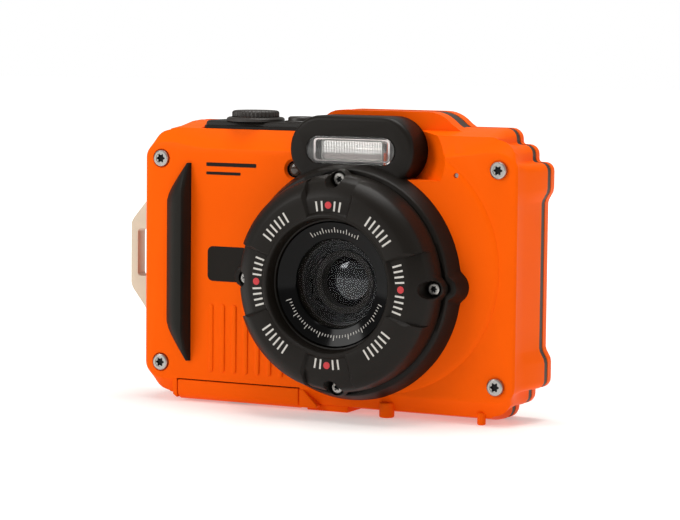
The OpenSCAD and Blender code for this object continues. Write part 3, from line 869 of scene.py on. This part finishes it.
# %% Bezel ring
base_profile = [
    (-13.9, 25.0, 2.3), (-14.2, 25.4, 2.6), (-15.9, 25.25, 2.4), (-16.5, 25.15, 2.1), (-17.2, 25.0, 1.2),
    (-19.2, 24.2, 0), (-19.7, 23.7, 0), (-20.9, 22.0, 0), (-21.5, 20.9, 0), (-21.75, 20.2, 0),
    (-21.8, 17.0, 0), (-22.05, 16.75, 0), (-22.5, 16.4, 0), (-22.6, 16.1, 0), (-22.55, 15.7, 0),
    (-22.2, 15.4, 0), (-19.4, 15.05, 0), (-19.3, 14.75, 0), (-16.8, 14.6, 0), (-13.9, 14.6, 0),
]
bezel = loft(
    "bezel_ring_shell",
    [at_depth(lobed(r, h, upright=BEZEL_UPRIGHT_SHARE), y) for y, r, h in base_profile],
    closed=True,
)
PAD_HALF = {0: 22, 1: 17}
petal_profile = [
    (-15.0, 25.35), (-19.4, 24.75), (-20.2, 24.4), (-21.7, 22.9), (-22.45, 21.6), (-22.6, 21.0),
    (-22.6, 16.3), (-15.0, 16.3),
]


def petal(quarter):
    """One raised petal between two screws, with sloping side walls."""
    ring = loft("petal_ring", [at_depth(lobed(r), y) for y, r in petal_profile], closed=True)
    first = 90 * quarter + PAD_HALF[quarter % 2]
    last = 90 * (quarter + 1) - PAD_HALF[(quarter + 1) % 2]
    rings = []
    for y, spread in ((-10, 3.5), (-21.6, 1.2), (-22.7, -1.2), (-24.0, -3.0)):
        arc_out = [polar(32, first - spread + (last - first + 2 * spread) * i / 8) for i in range(9)]
        arc_in = [polar(10, last + spread - (last - first + 2 * spread) * i / 8) for i in range(9)]
        rings.append(at_depth(arc_out + arc_in, y))
    sector = loft("petal_sector", rings)
    apply_boolean(ring, sector, "INTERSECT")
    return soften(ring, 0.16, 2, 38, lambda c, e: c.y < -15)


for quarter in range(4):
    weld(bezel, petal(quarter))
for quarter in range(4):
    x, z = polar(BEZEL_SCREW_RADIUS, 90 * quarter)
    cut(bezel, turned("bezel_pocket", [(1.95, -15.0), (1.95, -20.0), (2.3, -24.0)], x, z, 40))
    x, z = polar(BEZEL_SCREW_RADIUS + 1.1, 90 * quarter)
    cut(bezel, turned("bezel_relief", [(1.6, -16.3), (2.1, -17.0), (3.2, -24.0)], x, z, 32))
piece(bezel, "camera", "black_shell", "bezel_ring", angle=34)

# %% [markdown]
# ## Printed marks
# Fine ticks and four red dots are printed round the bezel, and a plain graduated scale runs
# round the glossy inner ring. Each mark is a very thin raised tile that follows the surface.

# %% Marks
PAD_Y, PETAL_Y = -21.8, -22.6
CONE_Y, CONE_SLOPE = -17.5, 0.38


def tile(name, inner, outer, half_width, degrees, depth_at):
    """A thin printed tile along a radius; depth_at gives the surface under a radius."""
    turn = math.radians(degrees)
    along = (math.cos(turn), math.sin(turn))
    across = (-along[1], along[0])
    corners = [(inner, -half_width), (outer, -half_width), (outer, half_width), (inner, half_width)]
    flat = [
        (LENS.x + r * along[0] + w * across[0], LENS.z + r * along[1] + w * across[1], depth_at(r))
        for r, w in corners
    ]
    return loft(name, [[(x, y + 0.05, z) for x, z, y in flat], [(x, y - 0.035, z) for x, z, y in flat]])


def on_pad(radius):
    return PAD_Y


def on_petal(radius):
    return PETAL_Y


def on_cone(radius):
    return CONE_Y - (radius - 10.55) * CONE_SLOPE


TICK_IN, TICK_OUT, TICK_HALF = 17.2, 19.5, 0.21
ticks = []
for quarter in range(4):
    reach = (5.0, 9.2) if quarter % 2 else (5.0, 9.0, 13.0, 17.0)
    for step in reach:
        for hand in (-1, 1):
            ticks.append(tile("tick", TICK_IN, TICK_OUT, TICK_HALF, 90 * quarter + hand * step, on_pad))
    for step in range(6):
        degrees = 90 * quarter + 45 + (step - 2.5) * 4.2
        ticks.append(tile("tick", TICK_IN, TICK_OUT + 0.3, TICK_HALF, degrees, on_petal))
scale_marks = gather(*ticks)
scale_marks.name = "bezel_ticks"
piece(scale_marks, "camera", "black_shell", finish_name="print_white")
dots = []
for quarter in range(4):
    x, z = polar(18.5, 90 * quarter)
    dots.append(turned("dot", [(0.82, PAD_Y + 0.05), (0.82, PAD_Y - 0.03), (0.7, PAD_Y - 0.05)], x, z, 28))
red_dots = gather(*dots)
red_dots.name = "bezel_dots"
piece(red_dots, "camera", "black_shell", finish_name="print_red")
fine = []
for step in range(17):
    fine.append(tile("grade", 12.0, 13.2 if step % 4 == 0 else 12.7, 0.09, 62 + step * 3.5, on_cone))
for step in range(41):
    fine.append(tile("grade", 11.9, 13.1 if step % 5 == 0 else 12.5, 0.09, 200 + step * 3.5, on_cone))
grades = gather(*fine)
grades.name = "lens_scale"
piece(grades, "camera", "gloss_black", finish_name="print_white")

# %% [markdown]
# ## Inside the bezel
# A glossy cone holds the flat window. Behind the glass a dark barrel narrows in fine steps to
# the domed front element.

# %% Retainer, barrel steps and front element
retainer = turned("window_retainer_ring", [
    (11.2, -16.72), (14.5, -16.72), (14.5, -18.8), (14.35, -18.95), (14.1, -18.85), (10.55, -17.5),
    (10.4, -17.35), (10.4, -16.72),
], LENS.x, LENS.z, 128, closed=True)
piece(retainer, "camera", "gloss_black", "window_retainer", angle=24)
steps = [(9.7, -9.2), (9.7, -15.0)]
for ring in range(6):
    radius = 9.4 - ring * 0.55
    depth = -14.9 + ring * 0.8
    steps += [(radius, depth), (radius - 0.1, depth + 0.8)]
steps += [(6.05, -9.6), (6.05, -9.2)]
baffle = turned("barrel_steps", steps, LENS.x, LENS.z, 96, closed=True)
piece(baffle, "camera", "black_shell", finish_name="barrel_black", angle=20)
element = turned("front_element", [
    (6.0, -8.0), (6.0, -9.7), (5.6, -10.0), (4.6, -10.4), (3.2, -10.75), (1.7, -10.95), (0.3, -11.0),
], LENS.x, LENS.z, 96)
piece(element, "camera", "clear_glass", "objective_lens", finish_name="element_coating", angle=60)

# %% [markdown]
# ## Screws
# One screw is lathed, its six-lobed socket is cut, and the finished screw is copied to each
# place. Every copy gets a mesh of its own.

# %% Screws
def copied(obj, shift):
    """A copy of a piece, moved by millimetres, with its own mesh and its origin back at zero."""
    pick(obj)
    bpy.ops.object.duplicate()
    bpy.ops.transform.translate(value=Vector(shift) * MM)
    return settle(obj.name)


def screw(name, head, shank, front, seat, tip, socket):
    """A low round head with a six-lobed socket; the axis runs along Y through the origin."""
    body = turned(name, [
        (shank * 0.6, tip), (shank, tip - 0.4), (shank, seat), (head, seat), (head, front + 0.35),
        (head - 0.1, front + 0.15), (head - 0.35, front), (head * 0.62, front), (head * 0.58, front + 0.07),
    ], 0, 0, 48)
    lobes = []
    for step in range(48):
        turn = 2 * math.pi * step / 48
        radius = socket * (1 + 0.2 * math.cos(6 * turn))
        lobes.append((radius * math.cos(turn), radius * math.sin(turn)))
    recess = loft("socket", [at_depth(lobes, front + 0.8), at_depth(lobes, front - 1)])
    groove = turned("groove", [(socket * 1.3, front + 0.16), (socket * 1.3, front - 1)], 0, 0, 48)
    return cut(body, groove, recess)


def screws(name, pattern, places, slot, node):
    made = [copied(pattern, (x, 0, z)) for x, z in places]
    bpy.data.objects.remove(pattern, do_unlink=True)
    group = gather(*made)
    group.name = name
    return piece(group, "camera", slot, node, angle=30)


def socket_shade_discs(name, places, radius, depth, slot):
    """Dark discs at the bottoms of the sockets: painted shade where the sockets fall dark."""
    profile = [(radius, depth + 0.1), (radius, depth), (radius * 0.5, depth - 0.03)]
    discs = [turned("disc", profile, x, z, 24) for x, z in places]
    group = gather(*discs)
    group.name = name
    return piece(group, "camera", slot, finish_name="barrel_black")


case_places = [(x, z) for x in (-SCREW_X, SCREW_X) for z in (SCREW_LOW, SCREW_HIGH)]
CASE_HEAD_Y, BEZEL_HEAD_Y, SOCKET_DEEP = -9.5, -16.3, 0.68
case_screw = screw("case_screw", 2.0, 0.95, CASE_HEAD_Y, -8.4, 7.6, 0.95)
screws("case_screw_set", case_screw, case_places, "screw_steel", "case_screws")
bezel_places = [polar(BEZEL_SCREW_RADIUS, 90 * quarter) for quarter in range(4)]
bezel_screw = screw("bezel_screw", 1.5, 0.7, BEZEL_HEAD_Y, -15.0, -10.4, 0.72)
screws("bezel_screw_set", bezel_screw, bezel_places, "screw_steel", "bezel_screws")
# The dark discs in the screw sockets are painted shade, darker than the lit steel would look.
socket_shade_discs("case_socket_shade_discs", case_places, 1.12, CASE_HEAD_Y + SOCKET_DEEP, "screw_steel")
socket_shade_discs("bezel_socket_shade_discs", bezel_places, 0.84, BEZEL_HEAD_Y + SOCKET_DEEP, "screw_steel")

# %% [markdown]
# ## The flash and the lamp
# A chrome trough with a slim tube sits behind a clear ribbed window. The small lamp beside it
# is a smoky dome at the bottom of its own countersunk well.

# %% Flash
def ribbed_panel(name, left, right, low, high, front, rear, pitch, depth):
    """A clear panel whose back carries fine upright ribs."""
    count = round((right - left) / pitch)
    outline = [(left, front), (right, front)]
    for step in range(count, 0, -1):
        x = left + (right - left) * step / count
        outline += [(x, rear), (x - pitch / 2, rear + depth)]
    outline.append((left, rear))
    return loft(name, [[(x, y, z) for x, y in outline] for z in (low, high)])


window_outline = stadium(FLASH.x, FLASH.z, FLASH_HALF - 0.05, FLASH_ROUND - 0.02, 16)
window = prism("flash_window_panel", window_outline, -10.62, -9.9)
soften(window, 0.18, 3, 50, lambda c, e: c.y < -10.5)
piece(window, "camera", "flash_plastic", "flash_window", angle=30)
ribs_panel = ribbed_panel("flash_rib_panel", 0.0, 15.2, 60.3, 64.5, -9.75, -9.55, 0.42, 0.16)
piece(ribs_panel, "camera", "flash_plastic", finish_name="flash_plastic", angle=10)


def trough_ring(inset, y, radius):
    low, high = 59.8 + inset * 0.6, 65.0 - inset * 0.6
    return at_depth(rounded_box(-2.4 + inset, 17.2 - inset, low, high, radius, 5), y)


reflector = loft("flash_reflector_trough", [
    trough_ring(0.0, -5.0, 0.9), trough_ring(0.0, -9.6, 0.9), trough_ring(0.5, -9.6, 0.7),
    trough_ring(0.9, -8.4, 0.7), trough_ring(1.7, -6.2, 0.6), trough_ring(2.6, -5.3, 0.5),
])
piece(reflector, "camera", "mirror_chrome", "flash_reflector", angle=30)
frame_out = rounded_box(-0.3, 15.5, 60.0, 64.8, 0.7, 5)
frame_in = rounded_box(-0.05, 15.25, 60.25, 64.55, 0.5, 5)
frame_bar = loft("flash_frame", [
    at_depth(frame_out, -9.5), at_depth(frame_out, -9.8), at_depth(frame_in, -9.8), at_depth(frame_in, -9.5),
], closed=True)
piece(frame_bar, "camera", "mirror_chrome", finish_name="print_grey", angle=30)
flash_bed = prism("flash_bed", stadium(FLASH.x, FLASH.z, FLASH_HALF, FLASH_ROUND + 0.1, 16), -8.9, -8.4)
cut(flash_bed, prism("bed_room", rounded_box(-2.2, 17.0, 59.9, 64.9, 0.9, 5), -12, -4))
piece(flash_bed, "camera", "mirror_chrome", finish_name="flash_bed_grey", angle=30)
bpy.ops.mesh.primitive_cylinder_add(
    vertices=32, radius=0.95 * MM, depth=19.6 * MM,
    location=Vector((7.4, -7.0, 62.4)) * MM, rotation=(0, math.pi / 2, 0),
)
tube = soften(settle("flash_tube_glass"), 0.3, 3, 60)
piece(tube, "camera", "flash_plastic", "flash_tube", finish_name="flash_plastic", angle=30)

# %% Assist lamp
dome = [(1.85, -6.6), (1.85, -7.4), (1.6, -7.85), (1.1, -8.15), (0.5, -8.28)]
lamp = turned("lamp_dome", dome, *LAMP, 40)
piece(lamp, "camera", "lamp_lens", "assist_lamp", angle=60)
wall = [(2.02, -6.4), (2.02, -8.1), (1.88, -8.1), (1.88, -6.4)]
lamp_wall = turned("lamp_collar", wall, *LAMP, 40, closed=True)
piece(lamp_wall, "camera", "black_shell", finish_name="gloss_black")
mesh_disc = turned("microphone_mesh", [(0.52, -8.0), (0.52, -8.5), (0.3, -8.55)], *MICROPHONE, 20)
piece(mesh_disc, "camera", "screw_steel", finish_name="print_grey")

# %% [markdown]
# ## The grip
# A soft black wedge is glued to the front for the fingers. It is lofted upwards: each ring is
# a cross-section with a long convex flank, a ridge, and a steep face on the lens side.

# %% Grip
GRIP_LOW, GRIP_HIGH = corner("grip_pad").z, corner("grip_pad", True).z
GRIP_LEFT, GRIP_RIGHT = corner("grip_pad").x, corner("grip_pad", True).x
GRIP_CREST = FACE - corner("grip_pad").y
GRIP_TAPER = 9.2


def grip_section(z):
    """One cross-section of the grip: (x, y, z) points round the wedge."""
    from_end = min(z - GRIP_LOW, GRIP_HIGH - z)
    ease = min(1.0, from_end / GRIP_TAPER)
    ease = ease - 0.12 * max(0.0, 1 - abs(ease - 1) / 0.25) if ease > 0.75 else ease
    left = GRIP_RIGHT - 1.0 - (GRIP_RIGHT - 1.0 - GRIP_LEFT) * ease ** 0.86
    crest = GRIP_CREST * min(1.0, 0.12 + from_end / 7.5) ** 0.7
    ridge = GRIP_RIGHT - 0.75
    points = [(GRIP_RIGHT, FACE + 0.1), (GRIP_RIGHT, FACE - 0.15), (ridge + 0.62, FACE - 0.4 * crest)]
    points += [(ridge + 0.5, FACE - 0.8 * crest), (ridge + 0.3, FACE - 0.93 * crest)]
    for step in range(13):
        share = step / 12
        points.append((ridge + (left + 0.12 - ridge) * share, FACE - crest * (1 - share ** 2.1) - 0.14))
    points.append((left, FACE + 0.1))
    return [(x, y, z) for x, y in points]


levels = [0, 0.25, 0.7, 1.4, 2.5, 4, 6, 7.6, GRIP_TAPER, 12]
heights = [GRIP_LOW + v for v in levels] + [GRIP_HIGH - v for v in levels[::-1]]
grip = loft("grip_wedge", [grip_section(z) for z in heights])
piece(grip, "camera", "grip_rubber", "grip_pad", angle=44)

# %% [markdown]
# ## The top plate and its buttons
# A black plate carries the release and the power button. The release knob is a low drum with
# fine grooves round its side and a stippled, slightly dished top, standing in a plain collar.

# %% Lathe about an upright axis
def upright(name, profile, x, y, steps=72, teeth=0, bite=0.0, closed=False):
    """A lathe piece about Z; profile is (radius, z, share of the tooth depth)."""
    rings = []
    for radius, z, share in profile:
        ring = []
        for step in range(steps):
            turn = 2 * math.pi * step / steps
            r = radius - bite * share * (0.5 - 0.5 * math.cos(teeth * turn))
            ring.append((x + r * math.cos(turn), y + r * math.sin(turn), z))
        rings.append(ring)
    return loft(name, rings, closed)


# %% Top plate
PLATE_TOP = corner("top_plate", True).z
plate_outline = [(-5.9, -6.45), (-5.9, 4.45), (-34.3, 4.45), (-34.2, -5.4), (-33.2, -6.45)]


def plate_ring(inset, z, front=0.0):
    return [
        (x + (inset if x < -20 else -inset), y + (-inset if y > 0 else inset + front), z)
        for x, y in plate_outline
    ]


plate = loft("top_plate_cap", [
    plate_ring(0.0, 66.4), plate_ring(0.0, 67.0), plate_ring(0.12, 67.15), plate_ring(0.15, 67.2, 0.35),
    plate_ring(0.2, 67.9, 0.5), plate_ring(0.35, 68.15, 0.7), plate_ring(0.7, PLATE_TOP, 0.9),
])
cut(
    plate,
    post("power_well", POWER.x, POWER.y, PLATE_TOP, 3.4, 3),
    post("stem_well", SHUTTER.x, SHUTTER.y, PLATE_TOP, 2.2, 6),
    post("knob_well", SHUTTER.x, SHUTTER.y, 68.85, 5.9, 2, 96),
)
soften(plate, 0.12, 2, 50, lambda c, e: c.z > 67.3)
piece(plate, "camera", "black_shell", "top_plate", angle=26)

# %% Buttons
collar = upright("shutter_collar_ring", [
    (5.95, 68.2, 0), (7.0, 68.2, 0), (7.0, 68.75, 0), (6.8, 69.05, 0), (6.45, 69.2, 0), (6.1, 69.2, 0),
    (5.95, 69.05, 0),
], SHUTTER.x, SHUTTER.y, 96, closed=True)
piece(collar, "camera", "knurled_black", "shutter_collar")
knob = upright("shutter_knob", [
    (1.6, 63.5, 0), (1.6, 68.9, 0), (5.1, 68.95, 0), (5.45, 69.1, 1), (5.7, 69.35, 1), (5.7, 70.25, 1),
    (5.55, 70.55, 1),
    (5.2, 70.75, 0.3), (4.8, 70.8, 0), (4.4, 70.68, 0), (3.0, 70.5, 0), (1.2, 70.42, 0),
], SHUTTER.x, SHUTTER.y, 216, teeth=36, bite=0.22)
piece(knob, "shutter", "knurled_black", "shutter_button", angle=36)
power = upright("power_cap", [
    (1.2, 63.5, 0), (1.2, 67.4, 0), (3.15, 67.5, 0), (3.15, 69.2, 0), (3.0, 69.45, 0), (2.7, 69.6, 0),
    (2.3, 69.58, 0), (1.2, 69.45, 0),
], POWER.x, POWER.y, 64)
piece(power, "power", "knurled_black", "power_button", angle=36)
collar_low = upright("power_rim", [
    (3.25, 67.9, 0), (3.9, 67.9, 0), (3.9, 68.45, 0), (3.75, 68.6, 0), (3.4, 68.6, 0), (3.25, 68.45, 0),
], POWER.x, POWER.y, 64, closed=True)
piece(collar_low, "camera", "knurled_black")

# %% [markdown]
# ## The strap bracket
# A pale metal loop stands out of the grip side. Its outline is extruded, the strap's slot is
# cut through, and every edge is eased so that a cord would not chafe.

# %% Strap bracket
bracket_outline = [
    (-46.2, 24.2), (-46.2, 45.3), (-51.05, 45.3), (-51.05, 47.8), (-52.5, 47.8), (-56.1, 43.5),
    (-56.75, 42.4), (-56.75, 27.1), (-56.1, 25.9), (-51.9, 20.5), (-51.05, 20.5), (-51.05, 24.2),
]
bracket = prism("strap_loop", bracket_outline, -1.75, 1.75)
soften(bracket, 0.6, 4, 18, lambda c, e: c.x < -51.5 and abs(c.y) < 1.0)
cut(bracket, prism("strap_slot", rounded_box(-54.9, -49.5, 29.2, 40.9, 0.9), -3, 3))
soften(bracket, 0.35, 3, 50, lambda c, e: c.x < -46.5)
foot_plate = block("strap_foot", (-46.4, -3.1, 23.1), (-45.5, 3.1, 46.3), 0.2)
piece(gather(bracket, foot_plate), "camera", "champagne_metal", "strap_bracket", angle=30)

# %% [markdown]
# ## The battery door
# The door is an L: a floor under the battery and a lip up the front face. Its lower front
# edge is rolled. The latch slides in a shallow recess under the floor.

# %% Battery door
door_section = [(3.5, 2.3), (-7.15, 2.3), (-7.15, 5.2), (-8.95, 5.3), (-8.95, 2.6)]
door_section += [(y, z) for y, z in arc(-6.85, 2.6, 2.1, 180, 270, 6)][1:]
door_section += [(3.2, 0.5), (3.6, 1.0)]
door = loft("battery_door_shell", [[(x, y, z) for y, z in door_section] for x in (-39.35, -6.45)])
soften(door, 0.25, 3, 40, lambda c, e: c.y < -7.3 or c.z < 1.2)
cut(door, block("latch_recess", (-27.5, -5.4, -1), (-17.8, -0.6, 1.15)))
knuckle = block("knuckle_room", (-38.8, 2.0, 1.0), (-7.0, 3.2, 2.2))
cut(door, knuckle)
piece(door, "door", "orange_shell", "battery_door", angle=30)

# %% [markdown]
# ## The skirt beside the door
# The raised lip runs on past the door as a short wedge with a slanted end, moulded on the
# front cover, so the door's outline reads as one long panel.

# %% Skirt
skirt_outline = [(-6.15, 0.9), (-1.9, 0.9), (-1.4, 1.5), (-5.3, 5.3), (-6.15, 5.3)]
skirt = prism("door_skirt", skirt_outline, -8.9, -6.5)
soften(skirt, 0.3, 3, 40, lambda c, e: c.y < -8.8 and c.x > -6)
left_skirt = prism("door_skirt_left", [(-40.6, 1.6), (-39.6, 0.9), (-39.6, 5.3), (-40.9, 5.3)], -8.9, -6.5)
skirts = gather(skirt, left_skirt)
skirts.name = "door_skirts"
piece(skirts, "camera", "orange_shell", angle=30)

# %% [markdown]
# ## The back: display and keys
# The rear carries a glossy display behind a flush window, a tilting zoom rocker, four round
# keys and a direction pad of four sectors about a centre key, with plain generic symbols.

# %% Display
display = prism("display_glass_panel", rounded_box(-14.45, 45.45, 11.55, 56.45, 2.0), BACK, BACK - 1.4)
soften(display, 0.22, 3, 50, lambda c, e: c.y > BACK - 0.01)
piece(display, "camera", "display_glass", "display_window", angle=30)
active = prism("display_active_area", rounded_box(-11.5, 42.5, 14.6, 53.4, 0.4, 3), BACK + 0.02, BACK - 0.3)
piece(active, "camera", "display_glass", finish_name="display_active", angle=30)

# %% Keys
KEY_FRONT = corner("ok_key", True).y
PRINT = 0.03
PAD_RADIUS = 6.9


def key(name, outline, body, node, slot="knurled_black", edge=0.35, rear=7.4, front=KEY_FRONT):
    """A key cap: its outline extruded between the mat and the fingers, with a rolled edge."""
    cap = prism(name, outline, front, rear)
    soften(cap, edge, 4, 50, lambda c, e: c.y > front - 0.01)
    return piece(cap, body, slot, node, angle=30)


def sector(inner, outer, first, last, steps=10):
    """A ring sector about the direction pad's centre, anticlockwise."""
    return arc(KEYS.x, KEYS.z, outer, first, last, steps) + arc(KEYS.x, KEYS.z, inner, last, first, steps)


def symbol(name, outline):
    """A thin printed symbol on a key."""
    return prism(name, outline, KEY_FRONT + PRINT, KEY_FRONT - 0.1)


for name, first in (("right", -42), ("up", 48), ("left", 138), ("down", 228)):
    key(name + "_cap", sector(4.25, 9.35, first, first + 84), name, name + "_key")
    turn = math.radians(first + 42)
    dx, dz = math.cos(turn), math.sin(turn)
    corners = [(0.8, 0.0), (-0.5, 0.85), (-0.5, -0.85)]
    arrow = []
    for a, b in corners:
        reach = PAD_RADIUS + a
        arrow.append((KEYS.x + reach * dx - b * dz, KEYS.z + reach * dz + b * dx))
    piece(symbol(name + "_arrow", arrow), name, "knurled_black", finish_name="print_white")
key("ok_cap", circle(KEYS.x, KEYS.z, 3.85, 48), "ok", "ok_key", edge=0.5)
ok_ring = symbol("ok_mark", circle(KEYS.x, KEYS.z, 1.1, 32))
cut(ok_ring, bar("ok_mark_room", KEYS.x, KEYS.z, 0.75, 5, 15))
piece(ok_ring, "ok", "knurled_black", finish_name="print_white")
for name in ("record", "play", "menu", "delete"):
    place = middle(name + "_key")
    key(name + "_cap", circle(place.x, place.z, 2.8, 40), name, name + "_key", edge=0.45)
    if name == "record":
        mark = symbol("record_dot", circle(place.x, place.z, 1.2, 32))
        piece(mark, name, "record_red", finish_name="record_red")
    elif name == "play":
        corners = [(0.8, -0.95), (0.8, 0.95), (-0.95, 0)]
        mark = symbol("play_mark", [(place.x + a, place.z + b) for a, b in corners])
        piece(mark, name, "knurled_black", finish_name="print_white")
    else:
        bars = []
        for step in (-1, 0, 1):
            half_x, half_z = (1.1, 0.16) if name == "menu" else (0.14, 0.95)
            x = place.x + (0 if name == "menu" else step * 0.6)
            z = place.z + (step * 0.7 if name == "menu" else 0)
            bars.append(symbol("bar", rounded_box(x - half_x, x + half_x, z - half_z, z + half_z, 0.08, 2)))
        mark = gather(*bars)
        mark.name = name + "_mark"
        piece(mark, name, "knurled_black", finish_name="print_white")

# %% Zoom rocker
ROCKER_FRONT = corner("zoom_rocker", True).y


def rocker_section(x):
    """The rocker's height over its length: proud at the ends, dished in the middle."""
    share = min(1.0, abs(x - ROCKER.x) / 8.9)
    return ROCKER_FRONT - 0.9 * (1 - share ** 2) * 0.6 - (0.25 if share > 0.96 else 0)


stations = [ROCKER.x + 8.9 * v for v in (-1, -0.97, -0.85, -0.65, -0.4, 0, 0.4, 0.65, 0.85, 0.97, 1)]
rocker_rings = []
for x in stations:
    top_y = rocker_section(x)
    narrow = 0.5 if abs(x - ROCKER.x) > 8.8 else 0.0
    low, high = 53.6 + narrow, 58.4 - narrow
    rocker_rings.append([
        (x, 7.15, low), (x, top_y - 0.4, low), (x, top_y - 0.1, low + 0.15), (x, top_y, low + 0.5),
        (x, top_y, high - 0.5), (x, top_y - 0.1, high - 0.15), (x, top_y - 0.4, high), (x, 7.15, high),
    ])
rocker = loft("zoom_rocker_cap", rocker_rings)
for index in range(5):
    for hand in (-1, 1):
        x = ROCKER.x + hand * (5.2 + index * 0.75)
        crest = rocker_section(x) + 0.16
        weld(rocker, block("rocker_rib", (x - 0.14, ROCKER_FRONT - 1.2, 54.4), (x + 0.14, crest, 57.6)))
piece(rocker, "rocker", "knurled_black", "zoom_rocker", angle=34)

# %% [markdown]
# ## Plain printed field and strips
# The real cover carries printing beside the lens. Here a plain dark field with round corners
# and two thin strips stand in its place. They are only a decoration and stand for nobody.

# %% Printed field and strips
PRINT_FRONT, PRINT_REAR = FACE + 0.05, FACE + 0.3
field_outline = rounded_box(-31.2, -20.4, 29.8, 38.2, 1.4, 5)
printed_field = prism("field", field_outline, PRINT_FRONT, PRINT_REAR)
printed_field.name = "plain_field"
piece(printed_field, "camera", "orange_shell", finish_name="print_black")
strip_marks = gather(
    prism("strip", rounded_box(-31.7, -18.2, 57.4, 58.3, 0.2, 2), PRINT_FRONT, PRINT_REAR),
    prism("strip", rounded_box(-31.7, -22.4, 55.4, 56.1, 0.2, 2), PRINT_FRONT, PRINT_REAR),
)
strip_marks.name = "plain_strips"
piece(strip_marks, "camera", "orange_shell", finish_name="print_black")

# %% [markdown]
# ## Floor and room
# The camera stands on a plain pale floor that ends far away in white. The floor glows a little,
# more so with distance, which hides the horizon as a paper sweep does in a studio.

# %% Floor and room
ROOM_LIGHT = 0.4
GLOW_NEAR, GLOW_FAR = 0.30, 0.85
deselect()
bpy.ops.mesh.primitive_plane_add(size=6, location=(0, 0, 0))
floor = bpy.context.object
floor.name = "floor"
floor_white = finish(
    "floor_white", (0.9, 0.89, 0.87), rough=(0.35, 0.4), grain_scale=50, bump=0.0, Specular_IOR_Level=0.1
)
floor.data.materials.append(floor_white)
tree = floor_white.node_tree
surface = tree.nodes["Principled BSDF"]
place = add(tree, "ShaderNodeTexCoord")
distance = add(tree, "ShaderNodeVectorMath")
distance.operation = "LENGTH"
glow = add(tree, "ShaderNodeMapRange")
glow.inputs["From Min"].default_value = 0.12
glow.inputs["From Max"].default_value = 0.6
glow.inputs["To Min"].default_value = GLOW_NEAR
glow.inputs["To Max"].default_value = GLOW_FAR
join(tree, place.outputs["Object"], distance.inputs[0])
join(tree, distance.outputs["Value"], glow.inputs["Value"])
join(tree, glow.outputs["Result"], surface.inputs["Emission Color"])
surface.inputs["Emission Strength"].default_value = 1.0

world = bpy.data.worlds.new("studio")
world.use_nodes = True
tree = world.node_tree
sky = tree.nodes["Background"]
sky.inputs["Color"].default_value = (1.0, 0.985, 0.96, 1)
sky.inputs["Strength"].default_value = ROOM_LIGHT
backdrop = add(tree, "ShaderNodeBackground", Color=(1, 1, 1, 1), Strength=1.0)
seen = add(tree, "ShaderNodeLightPath")
choice = add(tree, "ShaderNodeMixShader")
join(tree, seen.outputs["Is Camera Ray"], choice.inputs[0])
join(tree, sky.outputs[0], choice.inputs[1])
join(tree, backdrop.outputs[0], choice.inputs[2])
join(tree, choice.outputs[0], tree.nodes["World Output"].inputs["Surface"])
bpy.context.scene.world = world
bpy.context.scene.view_settings.view_transform = "Standard"
print("floor and room are ready")

# %% [markdown]
# ## Lights
# Three softboxes: a broad key from the front left, a weak fill from the right and a wide one
# above. Large lights close to the camera give the soft edges that a product table has.

# %% Lights
def softbox(name, place, size, power):
    """An area light in metres and watts that faces the middle of the camera."""
    deselect()
    bpy.ops.object.light_add(type="AREA", location=place)
    light = bpy.context.object
    light.name = name
    light.data.shape = "RECTANGLE"
    light.data.size, light.data.size_y = size
    light.data.energy = power
    light.data.color = (1, 0.99, 0.97)
    aim = Vector(place) - Vector((0, 0, CENTRE_Z * MM))
    light.rotation_euler = aim.to_track_quat("Z", "Y").to_euler()


softbox("key_left", (-0.45, -0.55, 0.40), (0.30, 0.40), 2.3)
softbox("fill_right", (0.65, -0.10, 0.30), (0.25, 0.50), 0.25)
softbox("top", (0.05, 0.05, 0.70), (0.50, 0.40), 4.3)

# %% [markdown]
# ## Finishes of the frame's own nodes
# The parts inside keep their frame shapes, and each gets the finish of its material slot.

# %% Finishes of the frame's own nodes
slot_of = {part["node"]: part["material_slot"] for part in frame["record"]["subparts"]}
for node, obj in frame["nodes"].items():
    obj.data.materials.clear()
    obj.data.materials.append(FINISHES[slot_of[node]])
print("nodes with finishes:", len(frame["nodes"]))
